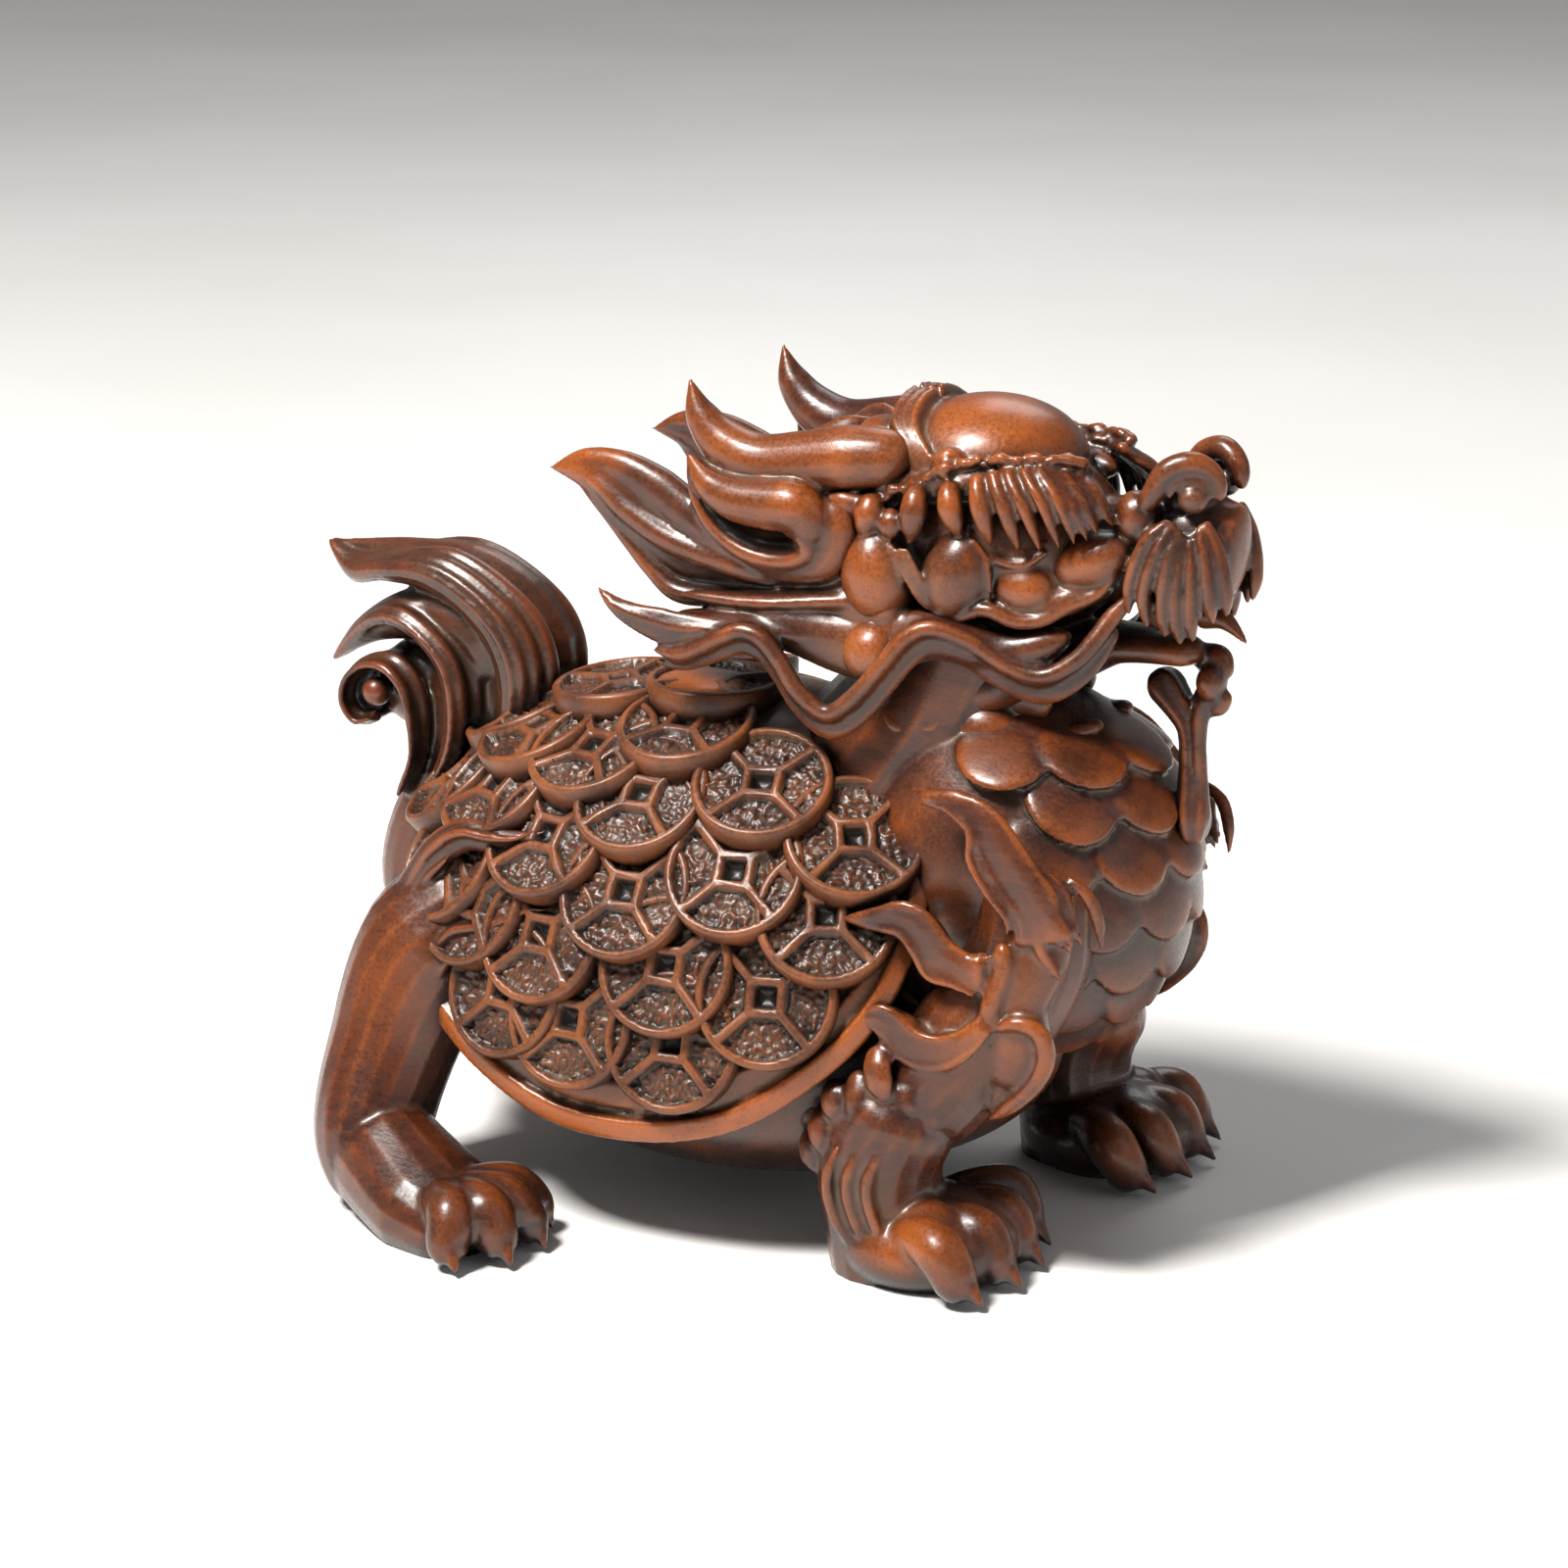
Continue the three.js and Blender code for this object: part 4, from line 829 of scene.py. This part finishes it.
    def hind(self, work: Relief) -> None:
        """Adds the hind leg and paw."""
        of = self.side.of
        work.drawn(of([(-26, 14, 34), (-35, 18, 26), (-38, 22.5, 16), (-38, 27, 7), (-35, 28, 1)]), [6.4, 8.2, 6.8, 6.2, 5])
        foot = [(-42, 25.4, 8), (-35, 28.6, 5.4), (-28, 31.6, 3), (-20, 34.6, 1.4)]
        work.drawn(of(foot), [4.6, 6.2, 7.2, 5.6], [4.6, 6.6, 5.6, 4], thin=(0, 0, 1))
        for x, out in self.HIND_CLAWS:
            path = [(-27, 33, 4), (x * 0.62 - 10, out * 0.62 + 12.4, 5.2), (x - 1.2, out - 0.8, 2.6), (x, out, 0.5)]
            self.claw(work, of(path))
        for x, z in self.HOCK:
            work.ball(self.side.at((x + 1.2, 25.0, z)), (1.9, 3.0, 1.7))
        for path in self.SHIN:
            work.bead(of([(x, out + 3.4, z) for x, out, z in path]), 0.6)

    def haunch(self, work: Relief) -> None:
        """Adds the flames on the haunch, with the hollow between them and the small leaves in it."""
        of = self.side.of
        top = [(x, out - 0.6, z) for x, out, z in self.HAUNCH_TOP]
        work.drawn(of(top), [2.6, 2.8, 2.2, 1.9, 1.8, 1.5, 1.1, 0.3], [2.4, 2.2, 1.6, 1.4, 1.2, 1.0, 0.8, 0.3])
        work.bead(of([(x, out + 0.9, z + 0.6) for x, out, z in self.HAUNCH_TOP]), self.line, 0.3)
        work.bead(of([(x, out + 0.6, z) for x, out, z in self.HAUNCH_IN]), self.line)
        mid = between(self.HAUNCH_MID[:6], self.HAUNCH_LOW, 0.4)
        work.drawn(of([(x, out - 0.4, z) for x, out, z in [*mid, self.HAUNCH_MID[7]]]), [3.0, 2.9, 2.4, 2.0, 1.7, 1.3, 0.3], [2.0, 1.8, 1.5, 1.3, 1.1, 0.9, 0.3])
        work.bead(of([(x, out + 1.0, z) for x, out, z in self.HAUNCH_MID]), self.line, 0.3)
        work.bead(of([(x, out + 1.0, z) for x, out, z in self.HAUNCH_LOW]), self.line, 0.3)
        for number, point in enumerate(self.TUFT):
            sweep = (number - 2) * 1.3
            root, tip = (point[0] + 1.4, point[1] - 0.6, point[2] - 3.6), (point[0] + sweep * 0.5, point[1] + 0.2, point[2] + 1.0)
            work.drawn(of([root, point, tip]), [0.8, 1.1, 0.12], [0.7, 0.8, 0.12])

    def build(self) -> bpy.types.Object:
        """Builds this side's limbs and returns their piece."""
        name, most = ("near_limbs", 120_000) if self.side is Side.NEAR else ("far_limbs", 70_000)
        work = Relief(name, voxel=0.31, most=most)
        self.front(work)
        self.shoulder(work)
        self.hind(work)
        self.haunch(work)
        return work.carve()


@dataclass
class Tail:
    """The plume: a smooth stem from the rump whose hairs swell, curl over and end in two tips and a spiral."""

    strands: int = 7
    swell: float = 6.0

    OUTER_A = ((-37.4, 38.3), (-30.4, 45.8), (-28.0, 52.6), (-29.3, 57.6), (-33.2, 61.4), (-39.9, 64.6), (-47.2, 63.9), (-53.1, 62.8), (-57.4, 63.8))
    INNER_A = ((-41.3, 37.2), (-36.5, 44.0), (-35.1, 50.4), (-36.3, 54.7), (-39.7, 58.2), (-44.6, 60.2), (-49.7, 60.4), (-54.0, 59.8), (-57.4, 63.6))
    OUTER_B = ((-42.5, 37.0), (-37.7, 43.9), (-36.6, 49.9), (-37.7, 53.9), (-40.9, 57.0), (-45.1, 59.0), (-49.0, 58.2), (-53.4, 55.3), (-57.3, 50.6))
    INNER_B = ((-45.2, 36.7), (-42.0, 42.7), (-40.7, 47.7), (-41.4, 51.8), (-43.6, 54.3), (-46.7, 55.7), (-49.8, 55.3), (-53.0, 52.9), (-57.2, 50.2))
    OUTER_C = ((-46.0, 37.3), (-43.5, 42.5), (-42.7, 46.8), (-43.7, 50.8), (-46.4, 53.0), (-49.9, 52.7), (-52.9, 50.5), (-53.6, 47.3), (-51.7, 44.7), (-48.9, 45.3))
    INNER_C = ((-47.8, 37.0), (-45.1, 42.3), (-45.0, 46.2), (-45.9, 49.5), (-48.0, 51.0), (-50.3, 50.9), (-52.2, 49.2), (-52.4, 47.4), (-51.3, 46.1), (-49.5, 46.7))

    def lock(self, work: Relief, outer: Path, inner: Path, count: int, near: float, depth: Sequence[float]) -> None:
        """Adds a lock of hair to both sides.

        Args:
            work: the piece.
            outer: the lock's outer edge, as places on the tail's middle plane.
            inner: its inner edge.
            count: how many hairs it has.
            near: how far out its outermost hair stands.
            depth: how far out it bulges along its length, as a share of near.
        """
        a, b = ([(x, 0, z) for x, z in path] for path in (outer, inner))
        gap = np.linalg.norm(np.asarray(a) - np.asarray(b), axis=1)
        for side in Side:
            heart = np.asarray(between(a, b, 0.5))
            reach = np.maximum(near * read(depth, np.linspace(0, 1, len(heart))), 0.3)
            heart[:, 1] = -1.0 + side.value * 0.5 * reach
            work.drawn(heart.tolist(), np.maximum(0.34 * gap, 0.2).tolist(), (0.5 * reach).tolist(), ends=0.05)
            for number in range(count):
                share = (number + 0.5) / count
                path = np.asarray(between(a, b, share))
                bulge = near * math.sin(math.pi * (0.12 + 0.76 * share))
                path[:, 1] = -1.0 + side.value * read(depth, np.linspace(0, 1, len(path))) * bulge
                widths = np.maximum(0.62 * gap / count, 0.35)
                widths[-1] = 0.2
                work.drawn(path.tolist(), widths.tolist(), (1.5 * widths).tolist(), ends=0.05)

    def build(self) -> bpy.types.Object:
        """Builds the tail and returns its piece."""
        work = Relief("tail", voxel=0.27, most=105_000)
        stem = [(-40, 0, 18), (-46.6, 0, 27), (-43.6, 0, 38), (-37, 0.5, 46)]
        plume = [(-34.6, 0.5, 54), (-39, 0, 60), (-47, -0.6, 62.2), (-57.2, -1, 63.8)]
        work.drawn([*stem, *plume], [5, 5.2, 4.4, 5.6, 6.4, 4.4, 2.6, 0.3], [5, 5.2, 4.6, 5.2, 5.6, 4.6, 2.6, 0.3])
        lower = [(-36, 0, 50), (-38, -1, 55), (-44, -2, 57), (-50.6, -2.2, 55.4), (-56.8, -2.2, 50.8)]
        work.drawn(lower, [5, 5, 3.4, 2.0, 0.3])
        work.ball((-46, -0.6, 49), (5.4, 4.2, 5))
        work.ball((-40, -0.4, 47), (7, 5.0, 9), 10)
        rise = [0.75, 0.85, 1.0, 1.0, 0.95, 0.85, 0.7, 0.4, 0.1]
        self.lock(work, self.OUTER_A, self.INNER_A, self.strands, self.swell, rise)
        self.lock(work, self.OUTER_B, self.INNER_B, 5, self.swell + 0.8, rise)
        self.lock(work, self.OUTER_C, self.INNER_C, 3, self.swell + 1.2, [0.7, 0.85, 0.95, 0.95, 0.9, 0.85, 0.8, 0.8, 0.8, 0.8])
        for side in Side:
            work.ball((-48.9, -1 + side.value * 5.2, 48.9), (1.6, 1.6, 1.6))
        return work.carve()


def tint(red: int, green: int, blue: int) -> tuple[float, float, float, float]:
    """Turns a colour as seen on a screen, 0 to 255, into the renderer's own linear values."""
    def linear(value: int) -> float:
        share = value / 255
        return share / 12.92 if share <= 0.04045 else ((share + 0.055) / 1.055) ** 2.4
    return (linear(red), linear(green), linear(blue), 1.0)


@dataclass(frozen=True)
class Finish:
    """How a surface of the carving looks."""

    name: str
    # deep is the painted shade colour: near-black laid by the material into hollows, creases and occluded places
    deep: tuple[float, float, float, float] = tint(12, 5, 3)
    body: tuple[float, float, float, float] = tint(82, 37, 18)
    dark: tuple[float, float, float, float] = tint(44, 20, 12)
    worn: tuple[float, float, float, float] = tint(156, 80, 26)
    dust: tuple[float, float, float, float] = tint(112, 88, 66)
    roughness: float = 0.32
    coat: float = 0.3
    dusty: float = 0.6


POLISHED = Finish("polished_boxwood")
COINED = Finish("worn_coin_relief", body=tint(88, 46, 25), worn=tint(146, 82, 38), roughness=0.42, coat=0.15, dusty=0.9)
PLUME = Finish("plume_boxwood", body=tint(84, 45, 25), dark=tint(54, 33, 21), worn=tint(136, 62, 26), dusty=0.35)


class Tree:
    """A node tree that is built from one call per node."""

    def __init__(self, tree: bpy.types.NodeTree) -> None:
        """Takes the tree to build in."""
        self.tree = tree

    def add(self, kind: str, inputs: dict | None = None, **settings: object) -> bpy.types.Node:
        """Adds a node, sets it, and links or sets its inputs."""
        node = self.tree.nodes.new(kind)
        for name, value in settings.items():
            setattr(node, name, value)
        for name, value in (inputs or {}).items():
            if isinstance(value, bpy.types.NodeSocket):
                self.tree.links.new(value, node.inputs[name])
            else:
                node.inputs[name].default_value = value
        return node

    def math(self, operation: str, a: object, b: object = 0.0, clamp: bool = False) -> bpy.types.NodeSocket:
        """Adds a sum of two values."""
        return self.add("ShaderNodeMath", {0: a, 1: b}, operation=operation, use_clamp=clamp).outputs[0]

    def span(self, value: object, low: float, high: float, to_low: float = 0.0, to_high: float = 1.0) -> bpy.types.NodeSocket:
        """Maps a value from one range to another, smoothly and without overshooting."""
        inputs = {0: value, 1: low, 2: high, 3: to_low, 4: to_high}
        return self.add("ShaderNodeMapRange", inputs, interpolation_type="SMOOTHSTEP").outputs[0]

    def mix(self, share: object, a: object, b: object) -> bpy.types.NodeSocket:
        """Mixes two colours."""
        return self.add("ShaderNodeMix", {0: share, 6: a, 7: b}, data_type="RGBA").outputs[2]

    def read(self, name: str) -> bpy.types.NodeSocket:
        """Reads a number stored on the mesh."""
        return self.add("ShaderNodeAttribute", attribute_name=name).outputs["Fac"]

    def noise(self, vector: object, scale: float, detail: float = 3.0, roughness: float = 0.5) -> bpy.types.NodeSocket:
        """Adds noise."""
        inputs = {"Vector": vector, "Scale": scale, "Detail": detail, "Roughness": roughness}
        return self.add("ShaderNodeTexNoise", inputs).outputs["Fac"]


def group(name: str, inputs: dict[str, str], outputs: dict[str, str]) -> tuple[Tree, bpy.types.Node, bpy.types.Node]:
    """Starts a shader node group.

    Args:
        name: what it is called.
        inputs: the type of each input, by name.
        outputs: the type of each output, by name.

    Returns:
        Its tree, the node that holds its inputs, and the node that takes its outputs.
    """
    tree = bpy.data.node_groups.new(name, "ShaderNodeTree")
    for in_out, sockets in (("INPUT", inputs), ("OUTPUT", outputs)):
        for label, kind in sockets.items():
            tree.interface.new_socket(label, in_out=in_out, socket_type=f"NodeSocket{kind}")
    return Tree(tree), tree.nodes.new("NodeGroupInput"), tree.nodes.new("NodeGroupOutput")


def grain_group() -> bpy.types.NodeTree:
    """Makes the wood's fibres, its cloudy changes of colour, and its fine speckle, from a place in millimetres."""
    tree, source, sink = group("boxwood_grain", {"Place": "Vector"}, {"Fibre": "Float", "Cloud": "Float", "Speckle": "Float"})
    place = source.outputs["Place"]
    stretched = tree.add("ShaderNodeMapping", {"Vector": place, "Scale": (0.22, 1.6, 1.6)}).outputs[0]
    tree.tree.links.new(tree.noise(stretched, 1.3, 4.0, 0.6), sink.inputs["Fibre"])
    tree.tree.links.new(tree.noise(place, 0.16, 3.0, 0.55), sink.inputs["Cloud"])
    tree.tree.links.new(tree.noise(place, 2.6, 3.0, 0.65), sink.inputs["Speckle"])
    return tree.tree


def wear_and_shade_group() -> bpy.types.NodeTree:
    """Makes the mask of what hands have rubbed bright, and the painted shade mask that darkens hollows and occluded
    places.
    """
    inputs = {"Cavity": "Float", "Broad": "Float", "Amber": "Float", "Cloud": "Float", "Speckle": "Float", "Open": "Float"}
    tree, source, sink = group("boxwood_wear_and_painted_shade", inputs, {"Worn": "Float", "PaintedShade": "Float"})
    value = source.outputs
    edge = tree.span(value["Cavity"], -0.05, -0.75)
    round_part = tree.span(value["Broad"], -0.1, -1.2)
    rubbed = tree.math("ADD", tree.math("MULTIPLY", edge, 0.45), tree.math("MULTIPLY", round_part, 0.3))
    mottle = tree.span(tree.math("ADD", value["Cloud"], tree.math("MULTIPLY", value["Speckle"], 0.5)), 0.55, 0.95, 0.25, 1.0)
    amber = tree.math("MULTIPLY", value["Amber"], tree.span(value["Speckle"], 0.25, 0.65, 0.55, 1.0))
    worn = tree.math("MULTIPLY", tree.math("ADD", tree.math("MULTIPLY", rubbed, mottle), amber), value["Open"], clamp=True)
    tree.tree.links.new(worn, sink.inputs["Worn"])
    # Painted shade: near-black laid where the surface is hollow and where the near occlusion is high
    deep = tree.math("ADD", tree.span(value["Cavity"], 0.15, 1.6, 0.0, 0.75), tree.span(value["Open"], 0.75, 0.1, 0.0, 0.9), clamp=True)
    tree.tree.links.new(deep, sink.inputs["PaintedShade"])
    return tree.tree


def dust_group() -> bpy.types.NodeTree:
    """Makes the mask of the grey dust and old wax that lie in grooves and in the coins' fields."""
    inputs = {"Cavity": "Float", "Dust": "Float", "Speckle": "Float", "Cloud": "Float"}
    tree, source, sink = group("boxwood_dust", inputs, {"Mask": "Float"})
    value = source.outputs
    groove = tree.math("MULTIPLY", tree.span(value["Cavity"], 0.05, 0.7), tree.span(value["Cavity"], 2.6, 1.0))
    patch = tree.span(value["Cloud"], 0.38, 0.62, 0.25, 1.0)
    groove = tree.math("MULTIPLY", tree.math("MULTIPLY", groove, patch), 0.5)
    laid = tree.math("MULTIPLY", value["Dust"], tree.span(value["Speckle"], 0.3, 0.62, 0.35, 1.0))
    tree.tree.links.new(tree.math("ADD", groove, laid, clamp=True), sink.inputs["Mask"])
    return tree.tree


def material(finish: Finish, groups: dict[str, bpy.types.NodeTree]) -> bpy.types.Material:
    """Makes a material of the carving.

    Args:
        finish: its colours and sheen.
        groups: the shared effects, by name.

    Returns:
        The material.
    """
    made = bpy.data.materials.new(finish.name)
    made.use_nodes = True
    made.node_tree.nodes.clear()
    tree = Tree(made.node_tree)
    coords = tree.add("ShaderNodeTexCoord").outputs["Object"]
    place = tree.add("ShaderNodeVectorMath", {0: coords, 3: 1 / MM}, operation="SCALE").outputs[0]
    grain = tree.add("ShaderNodeGroup", node_tree=groups["grain"])
    tree.tree.links.new(place, grain.inputs["Place"])
    cavity, broad, amber, dust = (tree.read(name) for name in ("cavity", "broad", "amber", "dust"))
    near = tree.add("ShaderNodeAmbientOcclusion", {"Distance": 0.0035}, samples=6).outputs["AO"]
    wide = tree.add("ShaderNodeAmbientOcclusion", {"Distance": 0.024}, samples=6).outputs["AO"]
    links = {"Cavity": cavity, "Broad": broad, "Amber": amber, "Cloud": grain.outputs["Cloud"], "Speckle": grain.outputs["Speckle"], "Open": near}
    wear_and_shade = tree.add("ShaderNodeGroup", node_tree=groups["wear_and_shade"])
    for name, socket in links.items():
        tree.tree.links.new(socket, wear_and_shade.inputs[name])
    lint = tree.add("ShaderNodeGroup", node_tree=groups["dust"])
    for name, socket in {"Cavity": cavity, "Dust": dust, "Cloud": grain.outputs["Cloud"], "Speckle": grain.outputs["Speckle"]}.items():
        tree.tree.links.new(socket, lint.inputs[name])
    mottle = tree.math("ADD", tree.math("MULTIPLY", grain.outputs["Fibre"], 0.55), tree.math("MULTIPLY", grain.outputs["Cloud"], 0.6))
    wood = tree.mix(tree.span(mottle, 0.4, 0.78), finish.dark, finish.body)
    wood = tree.mix(wear_and_shade.outputs["Worn"], wood, finish.worn)
    # Painted shade: the recess mask darkens the wood to the near-black deep colour
    wood = tree.mix(wear_and_shade.outputs["PaintedShade"], wood, finish.deep)
    # Painted shade: wide occlusion, under the head and between parts, darkens the wood to the same near-black
    wide_painted_shade = tree.span(wide, 0.62, 0.18, 0.0, 0.9)
    wood = tree.mix(wide_painted_shade, wood, finish.deep)
    mask = tree.math("MULTIPLY", lint.outputs["Mask"], tree.math("MULTIPLY", tree.span(near, 0.05, 0.5), finish.dusty), clamp=True)
    colour = tree.mix(mask, wood, finish.dust)
    rough = tree.span(grain.outputs["Speckle"], 0.3, 0.7, finish.roughness - 0.06, finish.roughness + 0.1)
    rough = tree.math("ADD", rough, tree.math("MULTIPLY", mask, 0.4), clamp=True)
    height = tree.math("ADD", tree.math("MULTIPLY", grain.outputs["Fibre"], 0.5), tree.math("MULTIPLY", grain.outputs["Speckle"], 0.5))
    bump = tree.add("ShaderNodeBump", {"Strength": 0.35, "Distance": 0.00012, "Height": height}).outputs[0]
    inputs = {
        "Base Color": colour, "Roughness": rough, "Normal": bump, "Coat Weight": finish.coat, "Coat Roughness": 0.22,
        "Specular IOR Level": 0.5,
    }
    shader = tree.add("ShaderNodeBsdfPrincipled", inputs).outputs[0]
    tree.add("ShaderNodeOutputMaterial", {"Surface": shader})
    return made


def spots_on(coords: np.ndarray, spots: Sequence[Spot]) -> np.ndarray:
    """Adds up how strongly each place is under the spots."""
    total = np.zeros(len(coords))
    for spot in spots:
        far = ((coords - np.asarray(spot.middle, float)) ** 2).sum(1) / spot.reach ** 2
        total += spot.strength * np.exp(-far)
    return np.clip(total, 0, 1)


AMBER = (
    Spot((20, -7, 84), 7.5, 0.8), Spot((12, -13, 69), 4, 0.7), Spot((12, -14, 62), 3.4, 0.8), Spot((4, -13, 80), 7, 0.5),
    Spot((-4, -12, 81), 4, 0.5), Spot((23, -27, 5), 4.5, 0.9), Spot((-21, -13, 77), 4, 0.6), Spot((33, -9, 71), 4, 0.4),
    Spot((27, -11, 68), 3.4, 0.4), Spot((30, -21, 33), 7, 0.35), Spot((28, -22, 26), 5, 0.4), Spot((-36, -24, 24), 7, 0.4),
)
DUST = (
    Spot((16, -13, 70), 2.6, 0.6), Spot((42.5, -5, 78), 2.4, 0.5), Spot((40, -6, 70), 4, 0.35), Spot((10, -13, 60), 3.4, 0.6),
    Spot((17.4, -25, 10), 2.6, 0.6), Spot((15, -8, 82), 3.0, 0.4), Spot((30, -7, 67), 3.0, 0.3), Spot((22, -13, 31), 4.0, 0.4),
)


def band(coords: np.ndarray, low: float, high: float) -> np.ndarray:
    """Finds what lies on the shell's rim band, by how far it stands above the dome."""
    x, y, z = ((coords - np.asarray(SHELL_MIDDLE)) / np.asarray(SHELL_RADII)).T
    n = SHELL_SQUARENESS
    level = (np.abs(x) ** n + np.abs(y) ** n + np.abs(z) ** n) ** (1 / n)
    return np.clip((level - low) / (high - low), 0, 1)


def dress(piece: bpy.types.Object, made: bpy.types.Material, mellow: np.ndarray | None = None, laid: np.ndarray | None = None) -> None:
    """Stores what the material reads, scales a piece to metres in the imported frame, and ties it to the frame.

    Args:
        piece: the piece, in millimetres.
        made: its material.
        mellow: how amber each vertex is, on top of the rubbed spots.
        laid: how dusty each vertex is, on top of the dusty spots.
    """
    mesh = piece.data
    coords, edges = coords_of(mesh), edges_of(mesh)
    flat = np.empty(3 * len(coords))
    mesh.vertex_normals.foreach_get("vector", flat)
    normals = flat.reshape(-1, 3)
    attribute(mesh, "cavity", ((blur(coords, edges, 8) - coords) * normals).sum(1) / 0.1)
    attribute(mesh, "broad", ((blur(coords, edges, 50) - coords) * normals).sum(1) / 0.5)
    attribute(mesh, "amber", np.clip(spots_on(coords, AMBER) + (0 if mellow is None else mellow), 0, 1))
    attribute(mesh, "dust", np.clip(spots_on(coords, DUST) + (0 if laid is None else laid), 0, 1))
    set_coords(mesh, (coords - (MIDDLE_X, 0, 0)) * MM)
    mesh.polygons.foreach_set("use_smooth", np.ones(len(mesh.polygons), bool))
    mesh.materials.clear()
    mesh.materials.append(made)
    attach(piece, "root")
    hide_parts(NODE)
    LOG.info("%s: %d triangles", piece.name, sum(len(face.vertices) - 2 for face in mesh.polygons))


@dataclass
class Studio:
    """The pale floor, the lamps, and the camera at the photograph's angle."""

    target: Point = (0.0058, -0.0073, 0.045)
    azimuth: float = 26.0
    elevation: float = 16.0
    distance: float = 0.44
    lens: float = 99.0

    def away(self, azimuth: float, elevation: float, distance: float) -> Vector:
        """Finds the place seen from the target in a direction."""
        a, e = math.radians(azimuth), math.radians(elevation)
        return Vector(self.target) + distance * Vector((math.sin(a) * math.cos(e), -math.cos(a) * math.cos(e), math.sin(e)))

    def aim(self, thing: bpy.types.Object, place: Vector, at: Point | None = None) -> None:
        """Puts a lamp or camera at a place, facing the target or another point."""
        thing.location = place
        thing.rotation_euler = (Vector(at or self.target) - place).to_track_quat("-Z", "Y").to_euler()
        bpy.context.scene.collection.objects.link(thing)

    def lamp(self, name: str, place: Vector, size: float, power: float, warmth: Point = (1, 1, 1)) -> None:
        """Adds a soft square lamp."""
        light = bpy.data.lights.new(name, "AREA")
        light.shape = "SQUARE"
        light.size = size
        light.energy = power
        light.color = warmth
        self.aim(bpy.data.objects.new(name, light), place)

    def floor(self) -> None:
        """Adds a pale floor that rises like a bowl far from the carving."""
        form = bmesh.new()
        bmesh.ops.create_circle(form, cap_ends=True, segments=96, radius=0.02)
        rim = [edge for edge in form.edges if edge.is_boundary]
        for radius in (0.06, 0.12, 0.25, 0.5, 0.9, 1.3, 1.7, 2.0, 2.25, 2.45, 2.6):
            made = bmesh.ops.extrude_edge_only(form, edges=rim)["geom"]
            rim = [part for part in made if isinstance(part, bmesh.types.BMEdge)]
            rim = [edge for edge in rim if edge.is_boundary]
            for vert in {vert for edge in rim for vert in edge.verts}:
                flat = vert.co.xy.normalized() * radius
                vert.co = (flat.x, flat.y, max(radius - 1.5, 0) ** 2 * 1.1)
        mesh = bpy.data.meshes.new("floor")
        form.to_mesh(mesh)
        form.free()
        mesh.polygons.foreach_set("use_smooth", np.ones(len(mesh.polygons), bool))
        paper = bpy.data.materials.new("pale_floor")
        paper.use_nodes = True
        shader = paper.node_tree.nodes["Principled BSDF"]
        tree = Tree(paper.node_tree)
        coords = tree.add("ShaderNodeTexCoord").outputs["Object"]
        soft = tree.span(tree.noise(coords, 6.0, 2.0), 0.3, 0.7)
        tree.tree.links.new(tree.mix(soft, tint(246, 245, 243), tint(252, 252, 251)), shader.inputs["Base Color"])
        shader.inputs["Roughness"].default_value = 0.9
        mesh.materials.append(paper)
        floor = bpy.data.objects.new("floor", mesh)
        bpy.context.scene.collection.objects.link(floor)

    def build(self) -> None:
        """Adds everything round the carving."""
        self.floor()
        self.lamp("key", self.away(-28, 58, 0.85), 0.2, 13.0, (1.0, 0.96, 0.91))
        self.lamp("fill", self.away(80, 30, 1.1), 0.7, 0.7, (0.95, 0.97, 1.0))
        self.lamp("rim", self.away(190, 45, 0.9), 0.4, 1.4)
        world = bpy.data.worlds.new("studio")
        world.use_nodes = True
        world.node_tree.nodes["Background"].inputs["Color"].default_value = (0.9, 0.92, 0.95, 1)
        world.node_tree.nodes["Background"].inputs["Strength"].default_value = 0.16
        bpy.context.scene.world = world
        view = bpy.data.cameras.new("camera")
        view.lens = self.lens
        view.sensor_width = 36
        view.sensor_fit = "HORIZONTAL"
        view.clip_start = 0.01
        camera = bpy.data.objects.new("camera", view)
        self.aim(camera, self.away(self.azimuth, self.elevation, self.distance))
        bpy.context.scene.camera = camera


def main() -> None:
    """Builds the carving and its studio."""
    bpy.context.scene.view_settings.view_transform = "Standard"
    logging.basicConfig(level=logging.INFO, format="%(name)s: %(message)s")
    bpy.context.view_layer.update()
    groups = {"grain": grain_group(), "wear_and_shade": wear_and_shade_group(), "dust": dust_group()}
    wood, coin, plume = (material(finish, groups) for finish in (POLISHED, COINED, PLUME))
    Studio().build()
    dress(Head().build(), wood)
    dress(Mane().build(), wood)
    dress(Trunk().build(), wood)
    for side in Side:
        dress(Limbs(side).build(), wood)
    dress(Tail().build(), plume)
    shell = Shell().build()
    raised = band(coords_of(shell.data), 1.012, 1.03)
    dress(shell, wood, 0.9 * raised, 0.75 * (1 - raised))
    for side in Side:
        dress(Coins().build(side), coin)


if __name__ == "__main__":
    main()
